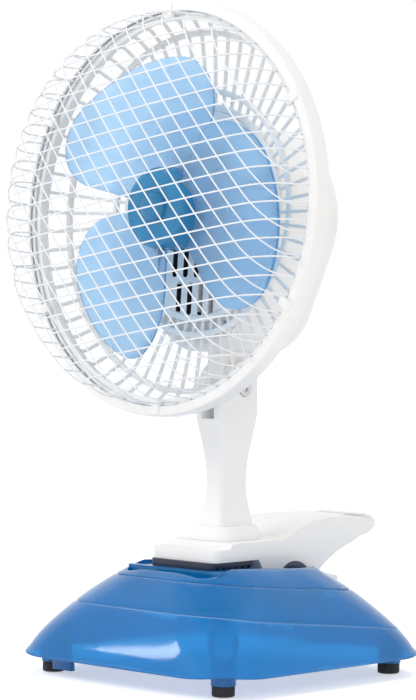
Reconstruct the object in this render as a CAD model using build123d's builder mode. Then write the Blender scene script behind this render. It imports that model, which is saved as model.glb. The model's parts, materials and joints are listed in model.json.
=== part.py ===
"""Small desk fan that stands on a pillow-shaped base or clips to a shelf.

The fan is a motor head in a round guard, on a neck that swivels on the upper jaw of a
clothes-peg clip.  The clip grips a bridge across the opening of the base.  All sizes are
in millimetres.  +Z is up, the fan blows towards -Y and the clip's lever points to +Y.
The origin is on the floor, under the middle of the whole outline.
"""

import os
from math import cos, radians, sin

from build123d import *

# ---------------------------------------------------------------- placing
BASE_Y = -8.85          # middle of the base, seen from the origin
CLEAR = 0.1             # gap between two pieces of one body that slide together
RUN = 0.05              # gap on the radius of a running fit
SEAT = 0.3              # gap between moving pieces that only come close

# ---------------------------------------------------------------- base
BASE_WALL = 2.4
BASE_EDGE_Z = 7.0       # height of the lower edge
BASE_FORM = (           # height, half width and corner radius of the pillow
    (BASE_EDGE_Z, 69.2, 24.0),
    (12.0, 68.2, 25.0),
    (22.0, 63.4, 27.0),
    (31.0, 57.0, 29.0),
    (39.0, 50.2, 32.0),
    (45.5, 42.5, 33.0),
    (49.5, 35.0, 28.0),
    (51.3, 26.0, 20.0),
)
OPENING_X = 56.0
OPENING_Y = 76.0
OPENING_CORNER = 9.0
RIM_WALL = 2.0          # wall that hangs from the opening's edge
RIM_DEPTH = 9.0
RIM_FALL = 3.0          # degrees that the rim falls to the rear
RIM_Z = 49.0            # height of the rim over the middle of the base
STEP_WIDTH = 0.7        # the two fine steps moulded round the pillow
STEP_DEPTH = 0.5
STEPS = ((41.5, 4.9), (26.8, 6.3))   # height over the middle, fall to the rear
NOTCH_X = 42.0          # cut in the rear slope for the lower lever
NOTCH_Z = 31.0
POST_AT = 53.6          # corner posts, from the middle in X and in Y
POST_R = 5.5
FOOT_R = 5.0
FOOT_H = 4.7
FOOT_STEM_R = 2.0
FOOT_STEM_H = 5.0
LUG_AT = (-40.0, -60.0)
LUG_SIZE = (12.0, 2.4, 7.0)

# ---------------------------------------------------------------- bridge in the base
BRIDGE_Y0 = -31.0
BRIDGE_Y1 = -2.0
BRIDGE_TOP = 49.0
BRIDGE_H = 15.6
BRIDGE_WALL = 2.4

# ---------------------------------------------------------------- clip
CLIP_X = 41.0           # width over the side skirts
CLIP_WALL = 2.5
CLIP_FRONT = -25.5      # front edge of the jaws, from the middle of the base
CLIP_BACK = 89.0        # end of the lever
PAD_H = 3.2
PAD_X = 39.0
PAD_Y0 = -27.5
PAD_Y1 = 1.5
JAW_H = 5.4
JAW_STEP = 2.0          # distance over which the jaw rises to the collar's seat
LEVER_FORM = ((34.0, 66.4), (60.0, 68.2))    # distance back and height of the lever's top
LEVER_END_Z = 67.6
LEVER_TIP_Z = (64.0, 60.4)
LEVER_UNDER = ((60.0, 54.6), (44.0, 46.0))
LEVER_CORNER = 12.0
HINGE_Y = 26.0
HINGE_Z = 38.0
HINGE_EAR_R = 14.0
HINGE_PIN_R = 2.5
CAP_R = 12.0
CAP_H = 1.6
LOWER_EAR_R = 10.0
LOWER_EAR_WALL = 3.0
LOWER_JAW_H = 5.0
LOWER_LEVER_Y = 61.0
LOWER_LEVER_Z = 40.6
SPRING_R = 7.2
SPRING_WIRE = 1.6
SPRING_TURNS = 4
SPRING_PITCH = 1.85
UPPER_LEG = 45.0        # degrees that each leg of the spring rises to the rear
UPPER_LEG_L = 29.0
LOWER_LEG = 18.0
LOWER_LEG_L = 26.0
FINGER_RIBS = 4
RIB_Y0 = 36.0            # first finger rib, from the middle of the base
RIB_PITCH = 15.0
RIB_Z = 64.2
RIB_RISE = 1.8
RIB_MARGIN = 6.5

# ---------------------------------------------------------------- neck
NECK_Y = 2.3            # neck axis, from the middle of the base
COLLAR_Z = 60.2
SEAT_R = 16.4           # flat of the clip that the collar turns on
COLLAR_H = 6.4
NECK_FORM = (           # height, size in X, size in Y and corner radius
    (COLLAR_Z + COLLAR_H, 15.0, 22.6, 2.8),
    (73.0, 12.8, 20.6, 2.6),
    (80.0, 11.2, 18.2, 2.6),
    (88.0, 10.8, 17.6, 2.6),
    (96.0, 11.8, 18.8, 2.6),
    (106.0, 14.6, 21.8, 2.8),
    (118.0, 17.6, 24.8, 3.0),
)
COLLAR_FOOT = (25.4, 27.8, 8.0)     # size in X, size in Y and corner radius
COLLAR_RIM = (23.8, 26.0, 7.6)
COLLAR_TOP = (21.6, 24.4, 6.6)
COLLAR_RIM_H = 1.2
SPIGOT_R = 6.0
NECK_BORE_R = 3.0
CHEEK_GAP = 8.0         # slot for the tilt lug
LUG_T = 7.8
LUG_R = 8.4
PIVOT_BACK = 2.6        # tilt pivot, behind the neck axis
PIVOT_Z = 128.4
CHEEK_R = 12.5
PIVOT_R = 2.0
SCREW_HEAD_R = 3.6
SCREW_HEAD_H = 2.2
SCREW_SINK = 1.2
NUT_ACROSS = 7.0
TILT_NUT_H = 2.4
SWIVEL_SCREW_R = 1.5
SWIVEL_SCREW_L = 9.0
WASHER_T = 1.2

# ---------------------------------------------------------------- head
PITCH = 4.0             # degrees that the fan looks up
AXIS_RISE = 77.4        # fan axis over the tilt pivot
RING_AHEAD = 47.6       # ring plane ahead of the tilt pivot
RING_R = 92.2
RING_LIP_R = 88.0
RING_FRONT = 2.6
RING_BACK = -6.0
RING_WALL = 1.8
LIP_T = 1.6
TAB_COUNT = 6
TAB_TURN = 2.0          # degrees from straight up to the first tab
TAB_W = 4.6

GRILLE_T = 1.0
GRILLE_RIM_R = 89.6
GRILLE_FOOT_R = 87.2
CROWN_R = 76.4          # where the grille's shoulder starts
CROWN_EDGE_Z = 26.2
CROWN_Z = 32.6
CROWN_SLOPE = (6.0, 3.2)
SHOULDER_R = 86.6
SHOULDER_Z = 12.0
WIRE_COUNT = 17
CELL = 10.0             # pitch of the wires in each family
WIRE = 0.95
FAMILY_A = -43.0        # degrees from X of each family of wires
FAMILY_B = 15.5

BOWL_R = 88.0           # rear guard's side wall
BOWL_WALL = 1.6
BOWL_BAND_BACK = -8.5
BOWL_RIM_Z = -1.1
BOWL_Z = -24.0          # back of the rear guard, round the motor plate
BOWL_FOOT_R = 80.5      # where the ribs turn up to the side wall
BOWL_FOOT_Z = -17.0
RIB_COUNT = 60
RIB_W = 1.5
RIB_T = 2.2
RING2_R = 79.0
RING3_R = 53.4
RING_BAND = 2.6
HUB_RING_R = 46.0
HUB_RING_W = 3.0

# ---------------------------------------------------------------- motor housing
COVER_R = 41.0
COVER_LOBE_R = 29.0
COVER_LOBE_DROP = 33.0
COVER_BACK = -76.0
COVER_WALL = 2.2
COVER_ROUND = 13.0
PLATE_T = 3.0
SLOT_W = 3.0
SLOT_L = 15.0
SLOT_PITCH = 6.8
SLOT_ROWS = (-38.5, -21.5)
KNOB_R = 9.0
KNOB_H = 9.0
KNOB_DROP = -36.0
KNOB_STEM_R = 3.0
INLET_R = 3.4
INLET_DROP = -52.0

# ---------------------------------------------------------------- motor
STATOR_X = 48.0
STATOR_TOP = 20.0
STATOR_FOOT = -38.0
STATOR_FRONT = -43.0
STATOR_T = 14.0
BAR_H = 8.0             # bar of the stator that carries the coil
WINDOW_X = 30.0
WINDOW_TOP = -15.0
COIL_X = 26.0
COIL_T = 6.0
ROTOR_R = 11.0
AIR_GAP = 0.6
ROTOR_L = 16.0
SHAFT_R = 2.0
SHAFT_FRONT = 3.9
SHAFT_BACK = -69.0
BEARING_R = 6.0
BEARING_T = 6.0
BRACKET_T = 2.0
BRACKET_W = 14.0
BRACKET_X = 30.0
BRACKET_H = 10.0
BRACKET_FOOT = 5.0
BRACKET_FRONT = STATOR_FRONT + BRACKET_T
BRACKET_POSTS = ((-17.8, 0.0), (17.8, 0.0))
STATOR_POSTS = ((-19.0, -34.0), (19.0, -34.0))
POST_COLUMN_R = 2.4
MOTOR_SCREW_R = 1.3
COVER_COLUMNS = ((-33.0, 0.0), (33.0, 0.0), (-17.0, -49.0), (17.0, -49.0))
COLUMN_R = 3.6
COVER_SCREW_R = 1.3
COVER_SCREW_SEAT = -67.0

# ---------------------------------------------------------------- impeller
HUB_R = 18.4
HUB_FRONT = 4.5
HUB_DEPTH = 18.0
HUB_WALL = 1.8
BLADE_R = 68.4
BLADE_COUNT = 3
BLADE_SPAN = 104.0      # degrees covered by one blade
BLADE_AT = -5.0         # degrees from +X to the first blade's middle
BLADE_T = 1.6
BLADE_ROOT_PITCH = 15.0
BLADE_TIP_PITCH = 10.5
BLADE_CAMBER = 16.0     # width of a section over its depth
BLADE_CORNER = 22.5
BLADE_Z = -0.5          # middle of the blades, from the ring plane
NUT_R = 7.0
NUT_H = 5.0

# ---------------------------------------------------------------- working planes
STAND = Plane((0, BASE_Y, 0))
SIDE = Plane((0, BASE_Y, 0), x_dir=(0, 1, 0), z_dir=(1, 0, 0))
NECK = Plane((0, BASE_Y + NECK_Y, 0))
FORWARD = Vector(0, -cos(radians(PITCH)), sin(radians(PITCH)))
UPWARD = Vector(0, sin(radians(PITCH)), cos(radians(PITCH)))
PIVOT = Vector(0, BASE_Y + NECK_Y + PIVOT_BACK, PIVOT_Z)
HEAD = Plane(PIVOT + FORWARD * RING_AHEAD + UPWARD * AXIS_RISE, x_dir=(1, 0, 0), z_dir=FORWARD)
HEAD_CUT = Plane(HEAD.origin, x_dir=(1, 0, 0), z_dir=UPWARD * -1)     # x radius, y forward
HEAD_SIDE = Plane(HEAD.origin, x_dir=FORWARD * -1, z_dir=(1, 0, 0))   # x backward, y upward
HEAD_AXIS = Axis(HEAD.origin, FORWARD)
HEAD_AXIS_WAY = Axis((0, 0, 0), FORWARD)

os.makedirs("parts", exist_ok=True)


def finish(piece, name):
    """Label a finished sub-part and write it to its STEP file."""
    piece.part.label = name
    export_step(piece.part, f"parts/{name}.step")


# ================================================================ base
def pillow(inset):
    """Solid pillow form of the base, taken in by `inset` all round and from above."""
    with BuildPart() as form:
        for height, half, corner in BASE_FORM:
            drop = inset * (height - BASE_EDGE_Z) / (BASE_FORM[-1][0] - BASE_EDGE_Z)
            with BuildSketch(STAND.offset(height - drop)):
                RectangleRounded(2 * (half - inset), 2 * (half - inset), corner - inset)
        loft()
    return form.part


pillow_outer = pillow(0)
pillow_inner = pillow(BASE_WALL)
pillow_step = pillow(STEP_DEPTH)


def falling_plane(height, fall):
    """Plane through `height` over the middle of the base that falls to the rear."""
    return Plane(STAND.offset(height).origin, x_dir=(1, 0, 0),
                 z_dir=(0, sin(radians(fall)), cos(radians(fall))))


def opening(grow=0.0):
    """Outline of the opening in the top of the base."""
    RectangleRounded(OPENING_X + 2 * grow, OPENING_Y + 2 * grow, OPENING_CORNER + grow)


def post_circles(height, radius):
    """Circles at the four corner posts."""
    with BuildSketch(STAND.offset(height)) as circles:
        with GridLocations(2 * POST_AT, 2 * POST_AT, 2, 2):
            Circle(radius)
    return circles.sketch


# wall that hangs round the opening
with BuildPart() as rim_wall:
    with BuildSketch(STAND.offset(RIM_Z - RIM_DEPTH)):
        opening(RIM_WALL)
    extrude(amount=RIM_DEPTH * 2)
    add(pillow_outer, mode=Mode.INTERSECT)

# corner posts, up to the skin of the pillow
with BuildPart() as posts:
    extrude(post_circles(BASE_EDGE_Z, POST_R), amount=BASE_FORM[-1][0])
    add(pillow_outer, mode=Mode.INTERSECT)
    extrude(post_circles(FOOT_H, POST_R), amount=BASE_EDGE_Z - FOOT_H)

# two fine steps that run round the pillow
with BuildPart() as grooves:
    for step_height, step_fall in STEPS:
        with BuildSketch(falling_plane(step_height - STEP_WIDTH / 2, step_fall)):
            Rectangle(4 * OPENING_X, 4 * OPENING_Y)
        extrude(amount=STEP_WIDTH)
    add(pillow_step, mode=Mode.SUBTRACT)

BRIDGE_MID = (0, (BRIDGE_Y0 + BRIDGE_Y1) / 2)
BRIDGE_Y = BRIDGE_Y1 - BRIDGE_Y0

with BuildPart() as base_shell:
    add(pillow_outer)
    # hollow it from below
    add(pillow_inner, mode=Mode.SUBTRACT)
    add(rim_wall.part)
    # end walls that carry the bridge
    with BuildSketch(STAND.offset(BRIDGE_TOP - BRIDGE_H)):
        with Locations(BRIDGE_MID):
            Rectangle(OPENING_X + 2 * RIM_WALL, BRIDGE_Y)
    extrude(amount=BRIDGE_H - BRIDGE_WALL)
    with BuildSketch(STAND.offset(BRIDGE_TOP - BRIDGE_H)):
        opening()
    extrude(amount=2 * BRIDGE_H, mode=Mode.SUBTRACT)
    # bridge: a plate with four webs below it
    with BuildSketch(STAND.offset(BRIDGE_TOP - BRIDGE_WALL)):
        with Locations(BRIDGE_MID):
            Rectangle(OPENING_X + RIM_WALL, BRIDGE_Y)
    extrude(amount=BRIDGE_WALL)
    with BuildSketch(STAND.offset(BRIDGE_TOP - BRIDGE_H)):
        with Locations(BRIDGE_MID):
            with GridLocations(0, (BRIDGE_Y - BRIDGE_WALL) / 3, 1, 4):
                Rectangle(OPENING_X + RIM_WALL, BRIDGE_WALL)
    extrude(amount=BRIDGE_H - BRIDGE_WALL)
    # the rim falls to the rear
    with BuildSketch(falling_plane(RIM_Z, RIM_FALL)):
        Rectangle(4 * OPENING_X, 4 * OPENING_Y)
    extrude(amount=RIM_DEPTH * 2, mode=Mode.SUBTRACT)
    # notch in the rear slope for the lower lever
    with BuildSketch(STAND.offset(NOTCH_Z)):
        with Locations((0, OPENING_Y)):
            RectangleRounded(NOTCH_X, OPENING_Y + 2 * OPENING_CORNER, OPENING_CORNER)
    extrude(amount=RIM_Z, mode=Mode.SUBTRACT)
    add(grooves.part, mode=Mode.SUBTRACT)
    add(posts.part)
    # bores for the stems of the feet
    extrude(post_circles(FOOT_H, FOOT_STEM_R + RUN), amount=FOOT_STEM_H + 1.0, mode=Mode.SUBTRACT)
    # small lug under the front wall
    with BuildSketch(STAND.offset(BASE_EDGE_Z + BASE_WALL - LUG_SIZE[2])):
        with Locations(LUG_AT):
            Rectangle(LUG_SIZE[0], LUG_SIZE[1])
    extrude(until=Until.NEXT)
finish(base_shell, "base_shell")

FEET = {"foot_front_left": (-1, -1), "foot_front_right": (1, -1),
        "foot_rear_left": (-1, 1), "foot_rear_right": (1, 1)}
for foot_name, (side_x, side_y) in FEET.items():
    with BuildPart() as foot:
        with BuildSketch(STAND):
            with Locations((side_x * POST_AT, side_y * POST_AT)):
                Circle(FOOT_R)
        extrude(amount=FOOT_H)
        chamfer(foot.edges().group_by(Axis.Z)[0], length=0.5)
        with BuildSketch(STAND.offset(FOOT_H)):
            with Locations((side_x * POST_AT, side_y * POST_AT)):
                Circle(FOOT_STEM_R)
        extrude(amount=FOOT_STEM_H)
    finish(foot, foot_name)


# ================================================================ clip
JAW_Z = BRIDGE_TOP + PAD_H          # underside of the upper jaw
LOWER_PAD_Z = BRIDGE_TOP - BRIDGE_H - 2 * CLEAR - PAD_H
LOWER_JAW_Z = LOWER_PAD_Z - LOWER_JAW_H
COUNTERBORE_R = 8.5
COUNTERBORE_H = 3.2
SKIRT_IN = CLIP_X / 2 - CLIP_WALL   # inner face of the side skirts

# hollow between the skirts of the upper jaw
with BuildPart() as channel:
    with BuildSketch(SIDE):
        with BuildLine():
            Polyline((PAD_Y1 + 4.0, 0), (PAD_Y1 + 4.0, COLLAR_Z - CLIP_WALL),
                     (NECK_Y + 13, COLLAR_Z - CLIP_WALL), *((y, z - CLIP_WALL) for y, z in LEVER_FORM),
                     (CLIP_BACK - 6, LEVER_END_Z - CLIP_WALL), (CLIP_BACK - 6, 0), close=True)
        make_face()
    extrude(amount=SKIRT_IN, both=True)
    with BuildSketch(STAND) as channel_plan:
        with Locations((0, CLIP_BACK / 2)):
            Rectangle(2 * SKIRT_IN, CLIP_BACK - 2 * CLIP_WALL)
        fillet(channel_plan.vertices().group_by(Axis.Y)[-1], radius=LEVER_CORNER - CLIP_WALL)
    extrude(amount=2 * COLLAR_Z, mode=Mode.INTERSECT)

with BuildPart() as clip_upper_jaw:
    with BuildSketch(SIDE) as jaw_profile:
        with BuildLine():
            front = Line((CLIP_FRONT, JAW_Z), (CLIP_FRONT, JAW_Z + JAW_H))
            plate = Line(front @ 1, (NECK_Y - SEAT_R - JAW_STEP, JAW_Z + JAW_H))
            rise = Line(plate @ 1, (NECK_Y - SEAT_R, COLLAR_Z))
            seat = Line(rise @ 1, (NECK_Y + SEAT_R, COLLAR_Z))
            top = Spline(seat @ 1, *LEVER_FORM, (CLIP_BACK - 4, LEVER_END_Z), tangents=((1, 0.3), (1, -0.05)))
            end = Spline(top @ 1, (CLIP_BACK, LEVER_TIP_Z[0]), (CLIP_BACK - 5, LEVER_TIP_Z[1]),
                         tangents=((1, -0.05), (-1, -0.2)))
            under = Spline(end @ 1, *LEVER_UNDER, (HINGE_Y + HINGE_EAR_R, HINGE_Z), tangents=((-1, -0.2), (0, -1)))
            ear = RadiusArc(under @ 1, (HINGE_Y - HINGE_EAR_R, HINGE_Z), HINGE_EAR_R)
            skirt = Line(ear @ 1, (PAD_Y1 + 1.0, JAW_Z))
            Line(skirt @ 1, front @ 0)
        make_face()
    extrude(amount=CLIP_X / 2, both=True)
    # rounded outline seen from above
    with BuildSketch(STAND) as jaw_plan:
        with Locations((0, (CLIP_FRONT + CLIP_BACK) / 2)):
            Rectangle(CLIP_X, CLIP_BACK - CLIP_FRONT)
        fillet(jaw_plan.vertices().group_by(Axis.Y)[0], radius=4.0)
        fillet(jaw_plan.vertices().group_by(Axis.Y)[-1], radius=LEVER_CORNER)
    extrude(amount=2 * COLLAR_Z, mode=Mode.INTERSECT)
    # finger ribs across the lever
    with BuildSketch(SIDE):
        for index in range(FINGER_RIBS):
            with Locations((RIB_Y0 + RIB_PITCH * index, RIB_Z + RIB_RISE * sin(radians(42 * index)))):
                Ellipse(2.4, 3.0)
    extrude(amount=CLIP_X / 2 - RIB_MARGIN, both=True)
    add(channel.part, mode=Mode.SUBTRACT)
    # boss and stepped bore for the neck's spigot
    with BuildSketch(NECK.offset(JAW_Z)):
        Circle(COUNTERBORE_R + CLIP_WALL)
    extrude(amount=COLLAR_Z - JAW_Z)
    with BuildSketch(NECK.offset(JAW_Z)):
        Circle(COUNTERBORE_R)
    extrude(amount=COUNTERBORE_H, mode=Mode.SUBTRACT)
    with BuildSketch(NECK.offset(JAW_Z)):
        Circle(SPIGOT_R + RUN)
    extrude(amount=COLLAR_Z, mode=Mode.SUBTRACT)
    # hinge holes and the recesses of the pin caps
    with BuildSketch(SIDE):
        with Locations((HINGE_Y, HINGE_Z)):
            Circle(HINGE_PIN_R + RUN)
    extrude(amount=CLIP_X, both=True, mode=Mode.SUBTRACT)
    with BuildSketch(SIDE.offset(CLIP_X / 2), SIDE.offset(-CLIP_X / 2)):
        with Locations((HINGE_Y, HINGE_Z)):
            Circle(CAP_R + CLEAR)
    extrude(amount=CAP_H - 0.4, both=True, mode=Mode.SUBTRACT)
finish(clip_upper_jaw, "clip_upper_jaw")

with BuildPart() as upper_jaw_pad:
    with BuildSketch(STAND.offset(BRIDGE_TOP)):
        with Locations((0, (PAD_Y0 + PAD_Y1) / 2)):
            RectangleRounded(PAD_X, PAD_Y1 - PAD_Y0, 4.0)
    extrude(amount=PAD_H)
    with BuildSketch(STAND.offset(BRIDGE_TOP)):
        with Locations((0, (PAD_Y0 + PAD_Y1) / 2)):
            with GridLocations(0, 4.0, 1, 6):
                Rectangle(PAD_X, 1.6)
    extrude(amount=0.8, mode=Mode.SUBTRACT)
finish(upper_jaw_pad, "upper_jaw_pad")

with BuildPart() as clip_lower_jaw:
    ear_x = SKIRT_IN - SEAT
    # jaw plate and lever plate
    with BuildSketch(SIDE):
        with BuildLine():
            Polyline((CLIP_FRONT, LOWER_JAW_Z), (CLIP_FRONT, LOWER_PAD_Z), (HINGE_Y - 13, LOWER_PAD_Z),
                     (HINGE_Y - 10, LOWER_JAW_Z), close=True)
        make_face()
        with BuildLine():
            Polyline((HINGE_Y + 9, LOWER_LEVER_Z - 12), (HINGE_Y + 9, LOWER_LEVER_Z - 8.4),
                     (LOWER_LEVER_Y, LOWER_LEVER_Z), (LOWER_LEVER_Y, LOWER_LEVER_Z - 4), close=True)
        make_face()
    extrude(amount=ear_x, both=True)
    # cheeks on both sides, round the hinge
    with BuildSketch(SIDE.offset(ear_x - LOWER_EAR_WALL), SIDE.offset(-ear_x)):
        with Locations((HINGE_Y, HINGE_Z)):
            Circle(LOWER_EAR_R)
        with BuildLine():
            Polyline((HINGE_Y - 26, LOWER_JAW_Z), (HINGE_Y - 26, LOWER_PAD_Z), (HINGE_Y - 18, LOWER_PAD_Z),
                     (HINGE_Y - 7.5, HINGE_Z + 5.5), (HINGE_Y + 3, HINGE_Z - 9.4),
                     (HINGE_Y - 8, LOWER_JAW_Z), close=True)
        make_face()
        with BuildLine():
            Polyline((HINGE_Y + 3, HINGE_Z + 9.4), (LOWER_LEVER_Y, LOWER_LEVER_Z),
                     (LOWER_LEVER_Y, LOWER_LEVER_Z - 4), (HINGE_Y + 2, HINGE_Z - 9.6), close=True)
        make_face()
    extrude(amount=LOWER_EAR_WALL)
    with BuildSketch(STAND) as lower_plan:
        with Locations((0, (CLIP_FRONT + LOWER_LEVER_Y) / 2)):
            Rectangle(CLIP_X, LOWER_LEVER_Y - CLIP_FRONT)
        fillet(lower_plan.vertices().group_by(Axis.Y)[0], radius=4.0)
        fillet(lower_plan.vertices().group_by(Axis.Y)[-1], radius=9.0)
    extrude(amount=COLLAR_Z, mode=Mode.INTERSECT)
    with BuildSketch(SIDE):
        with Locations((HINGE_Y, HINGE_Z)):
            Circle(HINGE_PIN_R + RUN)
    extrude(amount=CLIP_X, both=True, mode=Mode.SUBTRACT)
finish(clip_lower_jaw, "clip_lower_jaw")

with BuildPart() as lower_jaw_pad:
    with BuildSketch(STAND.offset(LOWER_PAD_Z)):
        with Locations((0, (CLIP_FRONT + PAD_Y1) / 2)):
            RectangleRounded(2 * ear_x - 2, PAD_Y1 - CLIP_FRONT, 3.5)
    extrude(amount=PAD_H)
    with BuildSketch(STAND.offset(LOWER_PAD_Z + PAD_H)):
        with Locations((0, (CLIP_FRONT + PAD_Y1) / 2)):
            with GridLocations(0, 4.0, 1, 6):
                Rectangle(CLIP_X, 1.6)
    extrude(amount=-0.8, mode=Mode.SUBTRACT)
finish(lower_jaw_pad, "lower_jaw_pad")

with BuildPart() as hinge_pin:
    with BuildSketch(SIDE):
        with Locations((HINGE_Y, HINGE_Z)):
            Circle(HINGE_PIN_R)
    extrude(amount=CLIP_X / 2 - CAP_H + 0.4, both=True)
finish(hinge_pin, "hinge_pin")

with BuildPart() as hinge_caps:
    for cap_plane in (SIDE.offset(CLIP_X / 2 - CAP_H + 0.4), SIDE.offset(CAP_H - 0.4 - CLIP_X / 2)):
        with BuildSketch(cap_plane):
            with Locations((HINGE_Y, HINGE_Z)):
                Circle(CAP_R)
        extrude(amount=CAP_H if cap_plane.origin.X > 0 else -CAP_H)
    fillet(hinge_caps.faces().sort_by(Axis.X)[0].edges(), radius=0.5)
    fillet(hinge_caps.faces().sort_by(Axis.X)[-1].edges(), radius=0.5)
finish(hinge_caps, "hinge_caps")

# torsion spring: a close coil round the pin, with one leg on each lever
coil_turns = SPRING_TURNS + (180 + LOWER_LEG - UPPER_LEG) / 360
coil_length = SPRING_PITCH * coil_turns
coil_start = Vector(-coil_length / 2, BASE_Y + HINGE_Y, HINGE_Z)
coil = Helix(pitch=SPRING_PITCH, height=coil_length, radius=SPRING_R, center=coil_start, direction=(1, 0, 0))
coil = coil.rotate(Axis(coil_start, (1, 0, 0)), UPPER_LEG)
upper_leg_end = coil @ 0 - (coil % 0) * UPPER_LEG_L
with BuildPart() as torsion_spring:
    with BuildLine():
        Line(upper_leg_end, coil @ 0)
        add(coil)
        Line(coil @ 1, coil @ 1 + (coil % 1) * LOWER_LEG_L)
    with BuildSketch(Plane(upper_leg_end, z_dir=coil % 0)):
        Circle(SPRING_WIRE / 2)
    sweep()
finish(torsion_spring, "torsion_spring")


# ================================================================ neck
with BuildPart() as collar:
    with BuildSketch(NECK.offset(COLLAR_Z)):
        RectangleRounded(*COLLAR_FOOT)
    with BuildSketch(NECK.offset(COLLAR_Z + COLLAR_H - COLLAR_RIM_H)):
        RectangleRounded(*COLLAR_RIM)
    loft()
    with BuildSketch(NECK.offset(COLLAR_Z + COLLAR_H - COLLAR_RIM_H)):
        RectangleRounded(*COLLAR_RIM)
    with BuildSketch(NECK.offset(COLLAR_Z + COLLAR_H)):
        RectangleRounded(*COLLAR_TOP)
    loft()
    # seat for the foot of the neck
    with BuildSketch(NECK.offset(COLLAR_Z)):
        Circle(SPIGOT_R + CLEAR)
    extrude(amount=COLLAR_H, mode=Mode.SUBTRACT)
finish(collar, "neck_collar")

with BuildPart() as neck:
    for height, size_x, size_y, corner in NECK_FORM:
        with BuildSketch(NECK.offset(height)):
            RectangleRounded(size_x, size_y, corner)
    loft()
    top_z, top_x, top_y, top_corner = NECK_FORM[-1]
    # head of the neck: two cheeks, round over the pivot
    with BuildSketch(NECK.offset(top_z)):
        RectangleRounded(top_x, top_y, top_corner)
    extrude(amount=PIVOT_Z - top_z + CHEEK_R)
    with BuildSketch(Plane(PIVOT, x_dir=(0, 1, 0), z_dir=(1, 0, 0))):
        Circle(CHEEK_R)
        with Locations((-PIVOT_BACK, 0)):
            Rectangle(top_y, PIVOT_Z, align=(Align.CENTER, Align.MAX))
    extrude(amount=top_x, both=True, mode=Mode.INTERSECT)
    # spigot that turns in the clip
    with BuildSketch(NECK.offset(JAW_Z + COUNTERBORE_H)):
        Circle(SPIGOT_R)
    extrude(amount=COLLAR_Z + COLLAR_H - JAW_Z - COUNTERBORE_H)
    # slot for the tilt lug
    with BuildSketch(Plane(PIVOT, x_dir=(0, 1, 0), z_dir=(1, 0, 0))):
        with Locations((0, -CHEEK_R - 1.0)):
            Rectangle(4 * CHEEK_R, 4 * CHEEK_R, align=(Align.CENTER, Align.MIN))
    extrude(amount=CHEEK_GAP / 2, both=True, mode=Mode.SUBTRACT)
    # pivot holes, with a hexagon seat for the nut on the left
    with BuildSketch(Plane(PIVOT, x_dir=(0, 1, 0), z_dir=(1, 0, 0))):
        Circle(PIVOT_R + RUN)
    extrude(amount=top_x, both=True, mode=Mode.SUBTRACT)
    with BuildSketch(Plane(PIVOT - Vector(top_x / 2, 0, 0), x_dir=(0, 1, 0), z_dir=(1, 0, 0))):
        RegularPolygon(NUT_ACROSS / 2 + CLEAR, 6, major_radius=False)
    extrude(amount=TILT_NUT_H, mode=Mode.SUBTRACT)
    with BuildSketch(Plane(PIVOT + Vector(top_x / 2, 0, 0), x_dir=(0, 1, 0), z_dir=(1, 0, 0))):
        Circle(SCREW_HEAD_R + CLEAR)
    extrude(amount=-SCREW_SINK, mode=Mode.SUBTRACT)
    # blind bore for the swivel screw
    with BuildSketch(NECK.offset(JAW_Z + COUNTERBORE_H)):
        Circle(SWIVEL_SCREW_R)
    extrude(amount=SWIVEL_SCREW_L, mode=Mode.SUBTRACT)
finish(neck, "neck")

with BuildPart() as swivel_washer:
    with BuildSketch(NECK.offset(JAW_Z + COUNTERBORE_H - WASHER_T)):
        Circle(COUNTERBORE_R - SEAT)
        Circle(SWIVEL_SCREW_R + CLEAR, mode=Mode.SUBTRACT)
    extrude(amount=WASHER_T)
finish(swivel_washer, "swivel_washer")

with BuildPart() as swivel_screw:
    with BuildSketch(NECK.offset(JAW_Z + COUNTERBORE_H - WASHER_T - 1.4)):
        Circle(4.0)
    extrude(amount=1.4)
    chamfer(swivel_screw.edges().group_by(Axis.Z)[0], length=0.5)
    with BuildSketch(NECK.offset(JAW_Z + COUNTERBORE_H - WASHER_T)):
        Circle(SWIVEL_SCREW_R)
    extrude(amount=WASHER_T + SWIVEL_SCREW_L - 1.0)
finish(swivel_screw, "swivel_screw")

RIGHT_FACE = Plane(PIVOT + Vector(top_x / 2, 0, 0), x_dir=(0, 1, 0), z_dir=(1, 0, 0))
with BuildPart() as tilt_screw:
    with BuildSketch(RIGHT_FACE.offset(-SCREW_SINK)):
        Circle(SCREW_HEAD_R)
    extrude(amount=SCREW_HEAD_H)
    fillet(tilt_screw.faces().sort_by(Axis.X)[-1].edges(), radius=0.5)
    with BuildSketch(RIGHT_FACE.offset(SCREW_HEAD_H - SCREW_SINK)):
        Rectangle(2.6, 0.6)
        Rectangle(0.6, 2.6)
    extrude(amount=-0.8, mode=Mode.SUBTRACT)
    with BuildSketch(RIGHT_FACE.offset(-SCREW_SINK)):
        Circle(PIVOT_R)
    extrude(amount=SCREW_SINK - top_x)
finish(tilt_screw, "tilt_screw")

with BuildPart() as tilt_nut:
    with BuildSketch(RIGHT_FACE.offset(-top_x)):
        RegularPolygon(NUT_ACROSS / 2, 6, major_radius=False)
        Circle(PIVOT_R, mode=Mode.SUBTRACT)
    extrude(amount=TILT_NUT_H)
finish(tilt_nut, "tilt_nut")


# ================================================================ guard
def band_section(inner, outer, rear, front):
    """Section of a band round the fan's axis: two radii, and two distances ahead of the ring plane."""
    with BuildSketch(HEAD_CUT) as section:
        with Locations(((inner + outer) / 2, (rear + front) / 2)):
            Rectangle(outer - inner, front - rear)
    return section.sketch


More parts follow.
